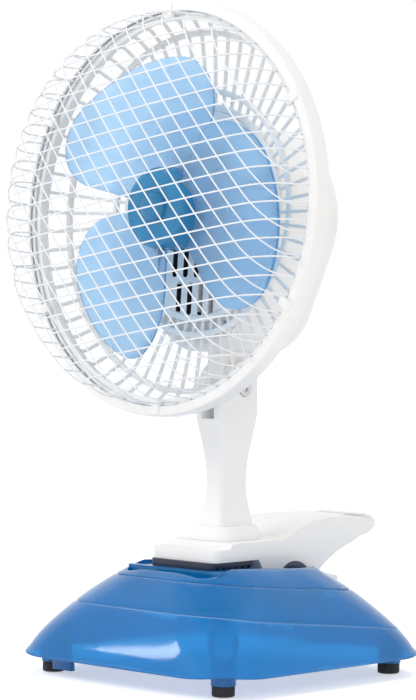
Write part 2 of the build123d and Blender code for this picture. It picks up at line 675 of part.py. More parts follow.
with BuildPart() as guard_ring:
    with BuildSketch(HEAD_CUT) as ring_section:
        with BuildLine():
            Polyline((RING_LIP_R, RING_FRONT - LIP_T), (RING_LIP_R, RING_FRONT), (RING_R, RING_FRONT),
                     (RING_R, RING_BACK), (RING_R - RING_WALL, RING_BACK),
                     (RING_R - RING_WALL, RING_FRONT - LIP_T), close=True)
        make_face()
        fillet(ring_section.vertices().group_by(Axis.Y)[-1].sort_by(Axis.X)[-1], radius=1.6)
    revolve(axis=HEAD_AXIS)
    # clips that hold the two halves of the guard together
    with BuildSketch(HEAD.offset(RING_FRONT - LIP_T)):
        with PolarLocations((RING_LIP_R + RING_R) / 2 - 0.4, TAB_COUNT, 90 + TAB_TURN):
            Rectangle(RING_R - RING_LIP_R - 1.4, TAB_W)
    extrude(amount=LIP_T + 0.8)
finish(guard_ring, "guard_ring")


def dome(inset, foot):
    """Solid under the front grille's outer face, taken in by `inset`."""
    with BuildPart() as form:
        with BuildSketch(HEAD_CUT):
            with BuildLine():
                crown = Bezier((0, CROWN_Z - inset), (CROWN_R / 2, CROWN_Z - inset),
                               (CROWN_R - CROWN_SLOPE[0] - inset / 2, CROWN_EDGE_Z + CROWN_SLOPE[1] - inset),
                               (CROWN_R - inset / 2, CROWN_EDGE_Z - inset))
                shoulder = TangentArc(crown @ 1, (SHOULDER_R - inset, SHOULDER_Z), tangent=crown % 1)
                side = Line(shoulder @ 1, (GRILLE_FOOT_R - inset, foot))
                Polyline(side @ 1, (0, foot), crown @ 0)
            make_face()
        revolve(axis=HEAD_AXIS)
    return form.part


dome_outside = dome(0, 0)
dome_inside = dome(GRILLE_T, -GRILLE_T)

with BuildPart() as front_grille:
    # two families of wires, seen from the front
    with BuildSketch(HEAD.offset(-GRILLE_T)):
        for family in (FAMILY_A, FAMILY_B):
            with Locations(Location((0, 0, 0), (0, 0, family))):
                with GridLocations(0, CELL, 1, WIRE_COUNT):
                    Rectangle(2 * RING_R, WIRE)
    extrude(amount=CROWN_Z + 2 * GRILLE_T)
    # bent to the dome
    add(dome_outside, mode=Mode.INTERSECT)
    add(dome_inside, mode=Mode.SUBTRACT)
    revolve(band_section(GRILLE_FOOT_R - 3, GRILLE_RIM_R, -GRILLE_T, RING_FRONT - LIP_T - CLEAR), axis=HEAD_AXIS)
finish(front_grille, "front_grille")

rib_planes = []
for turn in range(RIB_COUNT):
    outward = HEAD.x_dir.rotate(HEAD_AXIS_WAY, 360 / RIB_COUNT * turn)
    around = Plane(HEAD.origin, x_dir=outward, z_dir=outward.cross(FORWARD))
    rib_planes.append(around.offset(-RIB_W / 2))


def bowl_z(radius):
    """Height of the back of the ribs at `radius`."""
    return BOWL_Z + (BOWL_FOOT_Z - BOWL_Z) * (radius - HUB_RING_R) / (BOWL_FOOT_R - HUB_RING_R)


with BuildPart() as rear_guard:
    # rim, side wall, two rings on the sloping back and the ring round the motor plate
    revolve(band_section(BOWL_R - 4, GRILLE_RIM_R, BOWL_RIM_Z - BOWL_WALL, BOWL_RIM_Z), axis=HEAD_AXIS)
    revolve(band_section(BOWL_R - BOWL_WALL, BOWL_R, BOWL_BAND_BACK, BOWL_RIM_Z - 1), axis=HEAD_AXIS)
    for ring_r in (RING2_R, RING3_R):
        revolve(band_section(ring_r, ring_r + RING_BAND, bowl_z(ring_r), bowl_z(ring_r) + RIB_T), axis=HEAD_AXIS)
    revolve(band_section(HUB_RING_R, HUB_RING_R + HUB_RING_W, BOWL_Z, BOWL_Z + PLATE_T), axis=HEAD_AXIS)
    # ribs, each bent from the side wall to the sloping back
    with BuildSketch(*rib_planes):
        with BuildLine():
            rib_root = HUB_RING_R + 1
            Polyline((rib_root, bowl_z(rib_root)), (BOWL_FOOT_R, BOWL_FOOT_Z), (BOWL_R, BOWL_BAND_BACK - 1),
                     (BOWL_R, BOWL_BAND_BACK + 1), (BOWL_R - BOWL_WALL, BOWL_BAND_BACK + 1),
                     (BOWL_FOOT_R - 1.4, BOWL_FOOT_Z + RIB_T), (rib_root, bowl_z(rib_root) + RIB_T), close=True)
        make_face()
    extrude(amount=RIB_W)
finish(rear_guard, "rear_guard")


# ================================================================ motor
def housing_outline(inset=0.0):
    """Outline of the motor housing seen from behind: a round top and a narrower lobe."""
    Circle(COVER_R - inset)
    with Locations((0, -COVER_LOBE_DROP)):
        Circle(COVER_LOBE_R - inset)
    make_hull()


with BuildPart() as motor_plate:
    with BuildSketch(HEAD.offset(BOWL_Z)):
        Circle(HUB_RING_R - CLEAR)
    extrude(amount=PLATE_T)
    # lobe under the round plate, behind the ribs
    with BuildSketch(HEAD.offset(BOWL_Z - PLATE_T)):
        housing_outline()
    extrude(amount=PLATE_T)
    # vent slots in two rows below the shaft and two above it
    with BuildSketch(HEAD.offset(BOWL_Z + PLATE_T)):
        for row in SLOT_ROWS + tuple(-row for row in SLOT_ROWS[1:]):
            columns = 5 if abs(row) < 30 else 4
            with Locations((0, row)):
                with GridLocations(SLOT_PITCH, 0, columns, 1):
                    SlotOverall(SLOT_L, SLOT_W, rotation=90)
    extrude(amount=-3 * PLATE_T, mode=Mode.SUBTRACT)
    # posts that carry the motor, and pilot holes for the cover's screws
    with BuildSketch(HEAD.offset(BOWL_Z - PLATE_T)):
        with Locations(*BRACKET_POSTS):
            Circle(POST_COLUMN_R)
    extrude(amount=BRACKET_FRONT - BOWL_Z + PLATE_T)
    with BuildSketch(HEAD.offset(BOWL_Z - PLATE_T)):
        with Locations(*STATOR_POSTS):
            Circle(POST_COLUMN_R)
    extrude(amount=STATOR_FRONT - BOWL_Z + PLATE_T)
    with BuildSketch(HEAD.offset(STATOR_FRONT)):
        with Locations(*BRACKET_POSTS, *STATOR_POSTS):
            Circle(MOTOR_SCREW_R + RUN)
    extrude(amount=BOWL_Z - PLATE_T - STATOR_FRONT, mode=Mode.SUBTRACT)
    with BuildSketch(HEAD.offset(BOWL_Z - PLATE_T)):
        with Locations(*COVER_COLUMNS):
            Circle(COVER_SCREW_R + RUN)
    extrude(amount=PLATE_T + 1.0, mode=Mode.SUBTRACT)
    # bore for the shaft
    with BuildSketch(HEAD.offset(BOWL_Z + PLATE_T)):
        Circle(SHAFT_R + 1.0)
    extrude(amount=-3 * PLATE_T, mode=Mode.SUBTRACT)
finish(motor_plate, "motor_plate")

COVER_FRONT = BOWL_Z - PLATE_T
with BuildPart() as motor_cover:
    with BuildSketch(HEAD.offset(COVER_BACK)):
        housing_outline()
    extrude(amount=COVER_FRONT - COVER_BACK)
    fillet(motor_cover.faces().sort_by(HEAD_AXIS)[0].edges(), radius=COVER_ROUND)
    # hollow for the motor
    with BuildSketch(HEAD.offset(COVER_BACK + COVER_WALL)):
        housing_outline(inset=COVER_ROUND)
    with BuildSketch(HEAD.offset(COVER_BACK + COVER_WALL + COVER_ROUND)):
        housing_outline(inset=COVER_WALL)
    loft(mode=Mode.SUBTRACT)
    with BuildSketch(HEAD.offset(COVER_FRONT)):
        housing_outline(inset=COVER_WALL)
    extrude(amount=COVER_BACK + COVER_WALL + COVER_ROUND - COVER_FRONT, mode=Mode.SUBTRACT)
    # columns for the cover's screws
    with BuildSketch(HEAD.offset(COVER_FRONT)):
        with Locations(*COVER_COLUMNS):
            Circle(COLUMN_R)
    extrude(amount=COVER_SCREW_SEAT - COVER_FRONT - COVER_WALL)
    with BuildSketch(HEAD.offset(COVER_BACK)):
        with Locations(*COVER_COLUMNS):
            Circle(COLUMN_R - 0.8)
    extrude(amount=COVER_SCREW_SEAT - COVER_BACK, mode=Mode.SUBTRACT)
    with BuildSketch(HEAD.offset(COVER_BACK)):
        with Locations(*COVER_COLUMNS):
            Circle(COVER_SCREW_R + CLEAR)
    extrude(amount=COVER_FRONT - COVER_BACK, mode=Mode.SUBTRACT)
    # tilt lug, which hangs from the lobe
    with BuildSketch(HEAD_SIDE):
        with Locations((RING_AHEAD, -AXIS_RISE)):
            Circle(LUG_R)
        with Locations((RING_AHEAD, -COVER_LOBE_DROP - COVER_LOBE_R + COVER_WALL / 2)):
            Rectangle(2 * LUG_R + 8, COVER_WALL)
        make_hull()
    extrude(amount=LUG_T / 2, both=True)
    with BuildSketch(HEAD_SIDE):
        with Locations((RING_AHEAD, -AXIS_RISE)):
            Circle(PIVOT_R + RUN)
    extrude(amount=LUG_T, both=True, mode=Mode.SUBTRACT)
    # opening for the switch and the cord inlet below it
    with BuildSketch(HEAD.offset(COVER_BACK)):
        with Locations((0, KNOB_DROP)):
            Circle(KNOB_STEM_R + SEAT)
        with Locations((0, INLET_DROP)):
            Circle(INLET_R)
    extrude(amount=COVER_ROUND, both=True, mode=Mode.SUBTRACT)
    # vent slots in the rear face
    with BuildSketch(HEAD.offset(COVER_BACK)):
        with Locations((0, 6)):
            with GridLocations(SLOT_PITCH, 0, 7, 1):
                SlotOverall(2 * SLOT_L, SLOT_W, rotation=90)
    extrude(amount=COVER_ROUND, both=True, mode=Mode.SUBTRACT)
finish(motor_cover, "motor_cover")

stator_back = STATOR_FRONT - STATOR_T

with BuildPart() as stator:
    with BuildSketch(HEAD.offset(stator_back)):
        with Locations((0, (STATOR_TOP + STATOR_FOOT) / 2)):
            RectangleRounded(STATOR_X, STATOR_TOP - STATOR_FOOT, 3.0)
        with Locations((0, (WINDOW_TOP + STATOR_FOOT + BAR_H) / 2)):
            Rectangle(WINDOW_X, WINDOW_TOP - STATOR_FOOT - BAR_H, mode=Mode.SUBTRACT)
        Circle(ROTOR_R + AIR_GAP, mode=Mode.SUBTRACT)
        with Locations(*BRACKET_POSTS, *STATOR_POSTS):
            Circle(MOTOR_SCREW_R + RUN, mode=Mode.SUBTRACT)
    extrude(amount=STATOR_T)
finish(stator, "stator_core")

with BuildPart() as coil_part:
    with BuildSketch(Plane(HEAD.origin, x_dir=UPWARD, z_dir=(1, 0, 0))):
        with Locations((STATOR_FOOT + BAR_H / 2, STATOR_FRONT - STATOR_T / 2)):
            RectangleRounded(BAR_H + 2 * COIL_T, STATOR_T + 2 * COIL_T, 4.0)
            Rectangle(BAR_H + 2 * CLEAR, STATOR_T + 2 * CLEAR, mode=Mode.SUBTRACT)
    extrude(amount=COIL_X / 2, both=True)
finish(coil_part, "motor_coil")

with BuildPart() as rotor:
    with BuildSketch(HEAD.offset(STATOR_FRONT - STATOR_T / 2 - ROTOR_L / 2)):
        Circle(ROTOR_R)
        Circle(SHAFT_R + RUN, mode=Mode.SUBTRACT)
    extrude(amount=ROTOR_L)
    chamfer(rotor.edges().filter_by(GeomType.CIRCLE).sort_by(SortBy.RADIUS)[-2:], length=0.8)
finish(rotor, "rotor")

with BuildPart() as shaft:
    with BuildSketch(HEAD.offset(SHAFT_BACK)):
        Circle(SHAFT_R)
    extrude(amount=SHAFT_FRONT - SHAFT_BACK)
    chamfer(shaft.edges().filter_by(GeomType.CIRCLE), length=0.4)
finish(shaft, "shaft")

# strap brackets that hold the two bearings, before and behind the stator
for bracket_name, foot_z, way in (("front", STATOR_FRONT, 1), ("rear", stator_back, -1)):
    top_at = foot_z + way * BRACKET_H
    with BuildPart() as bracket:
        with BuildSketch(HEAD_CUT):
            with BuildLine():
                half = BRACKET_X / 2
                Polyline((half + BRACKET_FOOT, foot_z), (half + BRACKET_FOOT, foot_z + way * BRACKET_T),
                         (half, foot_z + way * BRACKET_T), (half, top_at), (-half, top_at),
                         (-half, foot_z + way * BRACKET_T), (-half - BRACKET_FOOT, foot_z + way * BRACKET_T),
                         (-half - BRACKET_FOOT, foot_z), (BRACKET_T - half, foot_z),
                         (BRACKET_T - half, top_at - way * BRACKET_T), (half - BRACKET_T, top_at - way * BRACKET_T),
                         (half - BRACKET_T, foot_z), close=True)
            make_face()
        extrude(amount=BRACKET_W / 2, both=True)
        with BuildSketch(HEAD.offset(foot_z - way)):
            Circle(BEARING_R + CLEAR)
            with Locations(*BRACKET_POSTS):
                Circle(MOTOR_SCREW_R + RUN)
        extrude(amount=way * 2 * BRACKET_H, mode=Mode.SUBTRACT)
    finish(bracket, f"bearing_bracket_{bracket_name}")
    with BuildPart() as bearing:
        with BuildSketch(HEAD.offset(top_at - way * (BRACKET_T + BEARING_T) / 2)):
            Circle(BEARING_R)
            Circle(SHAFT_R + RUN, mode=Mode.SUBTRACT)
        extrude(amount=way * BEARING_T)
    finish(bearing, f"bearing_{bracket_name}")

with BuildPart() as motor_screws:
    for spots, seat_z, end_z in ((BRACKET_POSTS, stator_back - BRACKET_T, BRACKET_FRONT + 6),
                                 (STATOR_POSTS, stator_back, STATOR_FRONT + 6)):
        with BuildSketch(HEAD.offset(seat_z)):
            with Locations(*spots):
                Circle(2.5)
        extrude(amount=-1.8)
        with BuildSketch(HEAD.offset(seat_z)):
            with Locations(*spots):
                Circle(MOTOR_SCREW_R)
        extrude(amount=end_z - seat_z)
finish(motor_screws, "motor_screws")

with BuildPart() as cover_screws:
    with BuildSketch(HEAD.offset(COVER_SCREW_SEAT)):
        with Locations(*COVER_COLUMNS):
            Circle(COLUMN_R - 1.1)
    extrude(amount=-1.8)
    with BuildSketch(HEAD.offset(COVER_SCREW_SEAT)):
        with Locations(*COVER_COLUMNS):
            Circle(COVER_SCREW_R)
    extrude(amount=COVER_FRONT + PLATE_T - COVER_SCREW_SEAT)
finish(cover_screws, "cover_screws")

with BuildPart() as speed_switch:
    with BuildSketch(HEAD.offset(COVER_BACK + COVER_WALL + CLEAR)):
        with Locations((0, KNOB_DROP)):
            RectangleRounded(16, 16, 1.5)
            Circle(KNOB_STEM_R + RUN, mode=Mode.SUBTRACT)
    extrude(amount=7.0)
finish(speed_switch, "speed_switch")

KNOB_PLANE = HEAD.offset(COVER_BACK - SEAT)
with BuildPart() as knob:
    with BuildSketch(KNOB_PLANE):
        with Locations((0, KNOB_DROP)):
            Circle(KNOB_R)
    extrude(amount=-3.0)
    with BuildSketch(KNOB_PLANE.offset(-3.0)):
        with Locations((0, KNOB_DROP)):
            Circle(KNOB_R - 2)
    extrude(amount=3.0 - KNOB_H, taper=6)
    # grip bar across the knob
    with BuildSketch(KNOB_PLANE.offset(-KNOB_H + 4)):
        with Locations((0, KNOB_DROP)):
            RectangleRounded(3.6, 2 * KNOB_R - 1.5, 1.7)
    extrude(amount=-4.0)
    with BuildSketch(KNOB_PLANE):
        with Locations((0, KNOB_DROP)):
            Circle(KNOB_STEM_R)
    extrude(amount=COVER_WALL + SEAT + 6.0)
finish(knob, "speed_knob")


# ================================================================ impeller
def blade_section(radius, pitch, width):
    """Lens section of a blade at `radius`, seen along the blade towards the hub."""
    depth = width / BLADE_CAMBER
    middle = HEAD.origin + HEAD.x_dir * radius + FORWARD * (BLADE_Z + depth)
    across = UPWARD * cos(radians(pitch)) + FORWARD * sin(radians(pitch))
    place = Plane(middle, x_dir=across, z_dir=(1, 0, 0))
    with BuildSketch(place) as section:
        with BuildLine():
            ThreePointArc((-width / 2, 0), (0, BLADE_T / 2 - depth), (width / 2, 0))
            ThreePointArc((-width / 2, 0), (0, -BLADE_T / 2 - depth), (width / 2, 0))
        make_face()
    return section.sketch


with BuildPart() as blade:
    loft([blade_section(HUB_R - 6, BLADE_ROOT_PITCH, 90), blade_section(BLADE_R + 4, BLADE_TIP_PITCH, 150)])
    # petal outline seen from the front
    with BuildSketch(HEAD.offset(-2 * HUB_DEPTH)) as petal:
        with BuildLine():
            reach = 2 * BLADE_R
            half_span = radians(BLADE_SPAN / 2)
            Polyline((0, 0), (reach * cos(half_span), reach * sin(half_span)), (2 * reach, 0),
                     (reach * cos(half_span), -reach * sin(half_span)), close=True)
        make_face()
        Circle(BLADE_R, mode=Mode.INTERSECT)
        fillet(petal.vertices().sort_by(Axis.X)[1:], radius=BLADE_CORNER)
        Circle(HUB_R - HUB_WALL / 2, mode=Mode.SUBTRACT)
    extrude(amount=4 * HUB_DEPTH, mode=Mode.INTERSECT)

with BuildPart() as impeller:
    # hub: a cup with a boss for the shaft
    with BuildSketch(HEAD.offset(HUB_FRONT - HUB_DEPTH)):
        Circle(HUB_R)
    extrude(amount=HUB_DEPTH)
    fillet(impeller.faces().sort_by(HEAD_AXIS)[-1].edges(), radius=2.5)
    with BuildSketch(HEAD.offset(HUB_FRONT - HUB_DEPTH)):
        Circle(HUB_R - HUB_WALL)
        Circle(SHAFT_R + 3, mode=Mode.SUBTRACT)
    extrude(amount=HUB_DEPTH - HUB_WALL, mode=Mode.SUBTRACT)
    with BuildSketch(HEAD.offset(HUB_FRONT - HUB_DEPTH)):
        Circle(SHAFT_R + RUN)
    extrude(amount=HUB_DEPTH - HUB_FRONT + SHAFT_FRONT + CLEAR, mode=Mode.SUBTRACT)
    for turn in range(BLADE_COUNT):
        add(blade.part.rotate(HEAD_AXIS, BLADE_AT + 360 / BLADE_COUNT * turn))
finish(impeller, "impeller")

with BuildPart() as hub_cap:
    with BuildSketch(HEAD_CUT):
        with BuildLine():
            Line((0, HUB_FRONT), (0, HUB_FRONT + NUT_H))
            ThreePointArc((0, HUB_FRONT + NUT_H), (NUT_R * 0.72, HUB_FRONT + NUT_H * 0.72), (NUT_R, HUB_FRONT))
            Line((NUT_R, HUB_FRONT), (0, HUB_FRONT))
        make_face()
    revolve(axis=HEAD_AXIS)
finish(hub_cap, "hub_cap")
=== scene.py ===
"""Finished look of a small clip-on desk fan, built round its CAD frame."""
import json
from math import atan, cos, hypot, pi, radians, sin, sqrt, tan

import bmesh
import bpy
from bpy.props import FloatProperty, FloatVectorProperty, IntProperty, PointerProperty
from mathutils import Matrix, Vector


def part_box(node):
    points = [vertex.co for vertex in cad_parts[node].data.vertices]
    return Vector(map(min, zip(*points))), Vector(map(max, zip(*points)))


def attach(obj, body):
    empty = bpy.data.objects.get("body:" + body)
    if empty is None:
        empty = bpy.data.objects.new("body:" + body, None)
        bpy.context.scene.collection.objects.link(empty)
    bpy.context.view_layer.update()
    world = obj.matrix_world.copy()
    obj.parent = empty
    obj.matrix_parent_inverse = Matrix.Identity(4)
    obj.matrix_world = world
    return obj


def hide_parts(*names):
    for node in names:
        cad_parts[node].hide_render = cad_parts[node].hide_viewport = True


bl_info = {
    "name": "Clip Desk Fan",
    "version": (1, 0, 0),
    "blender": (4, 5, 0),
    "location": "View3D > Sidebar > Fan",
    "description": "Dresses the CAD frame of a small clip-on desk fan with finished pieces",
    "category": "Object",
}

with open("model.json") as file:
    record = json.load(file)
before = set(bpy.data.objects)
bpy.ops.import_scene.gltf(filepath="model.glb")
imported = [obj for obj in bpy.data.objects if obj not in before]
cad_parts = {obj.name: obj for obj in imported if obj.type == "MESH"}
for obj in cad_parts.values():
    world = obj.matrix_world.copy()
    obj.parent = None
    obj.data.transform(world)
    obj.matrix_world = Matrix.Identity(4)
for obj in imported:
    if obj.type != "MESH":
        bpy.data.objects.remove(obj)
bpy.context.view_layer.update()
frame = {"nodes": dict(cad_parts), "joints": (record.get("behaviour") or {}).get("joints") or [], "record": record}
MM = 0.001

NODE_BODY = {node: body for body, nodes in frame["record"]["behaviour"]["bodies"].items() for node in nodes}
NODE_SLOT = {part["node"]: part["material_slot"] for part in frame["record"]["subparts"]}
SPIN = next(joint for joint in frame["joints"] if joint["name"] == "fan_spin")
AHEAD = -Vector(SPIN["axis"]).normalized()
ABOVE = AHEAD.cross(Vector((1, 0, 0)))
HEAD = Matrix((
    (1, ABOVE.x, AHEAD.x, SPIN["pos_m"][0]),
    (0, ABOVE.y, AHEAD.y, SPIN["pos_m"][1]),
    (0, ABOVE.z, AHEAD.z, SPIN["pos_m"][2]),
    (0, 0, 0, 1),
))


# ---------------------------------------------------------------- sizes and colours
def length(name, text, value):
    """A size, given in millimetres."""
    return FloatProperty(name=name, description=text, default=value * MM, unit="LENGTH", precision=5)


def turn(name, text, value):
    """An angle, given in degrees."""
    return FloatProperty(name=name, description=text, default=radians(value), subtype="ANGLE")


def colour(name, text, value):
    """A colour, given as linear red, green and blue."""
    return FloatVectorProperty(
        name=name, description=text, default=value, size=3, min=0, max=1, subtype="COLOR")


class FanGuardSizes(bpy.types.PropertyGroup):
    """Sizes of the guard: its domed wires, its ring and its ribbed back"""
    wire: length("Wire", "Thickness of the dome's wires", 0.74)
    crown_height: length("Crown height", "Height of the dome's middle over the ring plane", 32.6)
    crown_radius: length("Crown radius", "Radius at which the dome turns down to its shoulder", 76.4)
    crown_edge: length("Crown edge", "Height of the dome where it turns down", 26.2)
    shoulder_radius: length("Shoulder radius", "Radius at which the shoulder meets the side wall", 86.6)
    shoulder_height: length("Shoulder height", "Height at which the shoulder meets the side wall", 12.0)
    foot_radius: length("Foot radius", "Radius of the dome's foot in the ring", 87.2)
    steep_pitch: length("Steep pitch", "Distance between the steeper wires", 7.9)
    steep_turn: turn("Steep turn", "Turn of the steeper wires from level", -47.5)
    steep_start: length("Steep start", "Distance of the first steeper wire from the middle", 0.5)
    flat_pitch: length("Flat pitch", "Distance between the flatter wires", 7.45)
    flat_turn: turn("Flat turn", "Turn of the flatter wires from level", 9.6)
    flat_start: length("Flat start", "Distance of the first flatter wire from the middle", 1.7)
    ring_radius: length("Ring radius", "Outer radius of the guard's ring", 92.2)
    ring_inner: length("Ring inner radius", "Inner radius of the ring's front lip", 87.6)
    ring_front: length("Ring front", "Front of the ring ahead of its plane", 2.6)
    ring_back: length("Ring back", "Back of the ring behind its plane", 6.0)
    tab_count: IntProperty(
        name="Tabs", description="Number of clips round the ring", default=6, min=0, max=24)
    rib_count: IntProperty(
        name="Ribs", description="Number of ribs in the back", default=60, min=12, max=120)
    rib_width: length("Rib width", "Width of each rib", 1.5)
    hub_lift: length("Hub lift", "How far the hub's face is brought forward", 3.0)
    hub_radius: length("Hub radius", "Radius of the impeller's hub", 18.4)
    bowl_depth: length("Bowl depth", "Depth of the ribbed back behind the ring plane", 24.0)
    bowl_rise: length("Bowl rise", "Rise of the ribs from the motor plate to their bend", 7.0)
    bowl_bend: length("Bowl bend", "Radius at which the ribs turn up to the side wall", 80.5)
    bowl_radius: length("Bowl radius", "Outer radius of the ribbed back's side wall", 88.0)


class FanColours(bpy.types.PropertyGroup):
    """Colours of the fan's plastics, rubbers and metals"""
    white: colour("White plastic", "Moulded plastic of guard, housing, neck and clip", (0.89, 0.885, 0.875))
    wire: colour("White wire", "Coated wire of the front dome", (0.86, 0.87, 0.89))
    shell: colour("Clear blue", "Clear plastic of the base", (0.006, 0.27, 0.68))
    blade: colour("Blade blue", "Milky blue plastic of the blades", (0.45, 0.72, 1.0))
    rim: colour("Blade edge", "Edges of the blades", (0.10, 0.36, 0.72))
    hub: colour("Hub blue", "Clear blue plastic of the hub", (0.05, 0.36, 0.66))
    # painted highlight: a lighter blue stands for the light that the base's fine steps catch
    step: colour("Step", "Light that the base's fine steps catch", (0.25, 0.50, 0.82))
    pad: colour("Pad", "Soft plastic of the jaw pads", (0.010, 0.018, 0.042))
    navy: colour("Navy", "Glossy caps of the clip's pin", (0.010, 0.030, 0.075))
    rubber: colour("Rubber", "Rubber of the feet", (0.018, 0.018, 0.02))
    steel: colour("Steel", "Plain steel of pins, screws and shaft", (0.56, 0.56, 0.57))
    copper: colour("Copper", "Enamelled copper winding", (0.50, 0.16, 0.05))
    bronze: colour("Bronze", "Sintered bronze bearings", (0.42, 0.27, 0.11))
    # painted shade: near black stands for the unlit inside of the white motor housing
    inside: colour("Inside", "Unlit inside of the motor housing", (0.012, 0.012, 0.014))
    switch: colour("Switch", "Dark plastic of the switch", (0.02, 0.02, 0.022))
    floor: colour("Floor", "Pale floor under the fan", (0.9, 0.9, 0.9))


# ---------------------------------------------------------------- materials
NOISE_LOW, NOISE_HIGH = 0.3, 0.7    # most of a noise pattern lies between these
# noise patterns in cycles per metre: wide clouds of shade, and fine grain
MOULD_CLOUDS, CLEAR_CLOUDS, FLOOR_CLOUDS = 35, 22, 4
CLEAR_GRAIN, METAL_GRAIN = 260, 900
CLEAR_RELIEF, METAL_RELIEF = 0.00001, 0.000008    # depth of the grain in metres
METAL_SPREAD, FLOOR_SPREAD = 0.1, 0.005    # share by which a shade wanders


def new_material(name):
    """(material, its node tree's nodes, links, shader) of a new material."""
    material = bpy.data.materials.new(name)
    material.use_nodes = True
    nodes = material.node_tree.nodes
    return material, nodes, material.node_tree.links, nodes["Principled BSDF"]


def noise(nodes, links, scale, detail=3.0):
    """A noise pattern on the piece's own coordinates, in cycles per metre."""
    where = nodes.new("ShaderNodeTexCoord")
    pattern = nodes.new("ShaderNodeTexNoise")
    pattern.inputs["Scale"].default_value = scale
    pattern.inputs["Detail"].default_value = detail
    links.new(where.outputs["Object"], pattern.inputs["Vector"])
    return pattern.outputs["Fac"]


def tint(shade, factor):
    """A shade made lighter or darker."""
    return tuple(min(1.0, channel * factor) for channel in shade)


def vary_shade(nodes, links, factor, shade, spread, shader):
    """Base colour that wanders by a share to either side of a shade."""
    ramp = nodes.new("ShaderNodeValToRGB")
    dark, light = ramp.color_ramp.elements
    dark.position, light.position = NOISE_LOW, NOISE_HIGH
    dark.color = (*tint(shade, 1 - spread), 1)
    light.color = (*tint(shade, 1 + spread), 1)
    links.new(factor, ramp.inputs["Fac"])
    links.new(ramp.outputs["Color"], shader.inputs["Base Color"])


def vary_roughness(nodes, links, factor, low, high, shader):
    """Roughness that wanders between two limits."""
    spread = nodes.new("ShaderNodeMapRange")
    spread.inputs["From Min"].default_value = NOISE_LOW
    spread.inputs["From Max"].default_value = NOISE_HIGH
    spread.inputs["To Min"].default_value = low
    spread.inputs["To Max"].default_value = high
    links.new(factor, spread.inputs["Value"])
    links.new(spread.outputs["Result"], shader.inputs["Roughness"])


def raise_grain(nodes, links, factor, depth, shader):
    """Fine relief of the surface, `depth` metres deep."""
    bump = nodes.new("ShaderNodeBump")
    bump.inputs["Distance"].default_value = depth
    bump.inputs["Strength"].default_value = 1
    links.new(factor, bump.inputs["Height"])
    links.new(bump.outputs["Normal"], shader.inputs["Normal"])


def moulded(name, shade, rough=0.35, grain=0.000015, grain_scale=1400, spread=0.03):
    """Opaque moulded plastic or rubber with a fine grain and slight shade changes."""
    material, nodes, links, shader = new_material(name)
    slow = noise(nodes, links, MOULD_CLOUDS)
    fine = noise(nodes, links, grain_scale, 2)
    vary_shade(nodes, links, slow, shade, spread, shader)
    vary_roughness(nodes, links, fine, rough - 0.05, rough + 0.06, shader)
    raise_grain(nodes, links, fine, grain, shader)
    shader.inputs["IOR"].default_value = 1.49
    return material


def clear(name, shade, through, rough=0.1, spread=0.06):
    """See-through coloured plastic."""
    material, nodes, links, shader = new_material(name)
    slow = noise(nodes, links, CLEAR_CLOUDS)
    fine = noise(nodes, links, CLEAR_GRAIN, 2)
    vary_shade(nodes, links, slow, shade, spread, shader)
    vary_roughness(nodes, links, slow, rough - 0.03, rough + 0.04, shader)
    raise_grain(nodes, links, fine, CLEAR_RELIEF, shader)
    shader.inputs["IOR"].default_value = 1.42
    shader.inputs["Transmission Weight"].default_value = through
    return material


def metal(name, shade, rough=0.3, streak=(1, 1, 1)):
    """Plain metal with fine streaks."""
    material, nodes, links, shader = new_material(name)
    where = nodes.new("ShaderNodeTexCoord")
    stretch = nodes.new("ShaderNodeMapping")
    stretch.inputs["Scale"].default_value = streak
    pattern = nodes.new("ShaderNodeTexNoise")
    pattern.inputs["Scale"].default_value = METAL_GRAIN
    links.new(where.outputs["Object"], stretch.inputs["Vector"])
    links.new(stretch.outputs["Vector"], pattern.inputs["Vector"])
    fine = pattern.outputs["Fac"]
    vary_shade(nodes, links, fine, shade, METAL_SPREAD, shader)
    vary_roughness(nodes, links, fine, rough - 0.06, rough + 0.08, shader)
    raise_grain(nodes, links, fine, METAL_RELIEF, shader)
    shader.inputs["Metallic"].default_value = 1
    return material


def finish_of(slot):
    """The material of a material slot, made on first use."""
    name = "finish_" + slot
    known = bpy.data.materials.get(name)
    if known:
        return known
    shades = bpy.context.scene.fan_colours
    makers = {
        "white_plastic": lambda: moulded(name, shades.white, rough=0.36, spread=0.015),
        "white_wire": lambda: moulded(name, shades.wire, rough=0.3, grain=0.000006, spread=0.02),
        "blue_clear": lambda: clear(name, shades.shell, through=0.5, rough=0.08),
        "blade_blue": lambda: clear(name, shades.blade, through=0.78, rough=0.28, spread=0.04),
        "hub_blue": lambda: clear(name, shades.hub, through=0.5, rough=0.12),
        "blade_rim": lambda: clear(name, shades.rim, through=0.2, rough=0.2),
        # painted shade for the housing's unlit inside and its slot walls
        "inside_painted_shade": lambda: moulded(name, shades.inside, rough=0.8, spread=0.1),
        # painted highlight on the base's fine steps
        "step_painted_highlight": lambda: moulded(name, shades.step, rough=0.3, spread=0.05),
        "soft_pad": lambda: moulded(name, shades.pad, rough=0.35, spread=0.1),
        "navy_plastic": lambda: moulded(name, shades.navy, rough=0.22, spread=0.08),
        "black_rubber": lambda: moulded(
            name, shades.rubber, rough=0.7, grain=0.00005, grain_scale=800, spread=0.15),
        "steel": lambda: metal(name, shades.steel),
        "dark_steel": lambda: metal(name, tint(shades.steel, 0.35), rough=0.4),
        "copper": lambda: metal(name, shades.copper, rough=0.3, streak=(1, 12, 1)),
        "bronze": lambda: metal(name, shades.bronze, rough=0.5),
        "switch_plastic": lambda: moulded(name, shades.switch, rough=0.5, spread=0.1),
    }
    return makers[slot]()


# ---------------------------------------------------------------- workshop
MERGE_WITHIN = 2e-6    # metres between points of the CAD that are one
SEAM_WITHIN = 1e-6    # metres between the first and last points of a turned outline
FLAT_WITHIN = radians(0.4)    # turn between faces that become one flat face
CORNER_SHARE = 0.45    # share of a side that one rounded corner may take up


def only(*pieces):
    """Selects just these pieces, the first one active."""
    bpy.ops.object.select_all(action="DESELECT")
    for piece in pieces:
        piece.select_set(True)
    bpy.context.view_layer.objects.active = pieces[0]


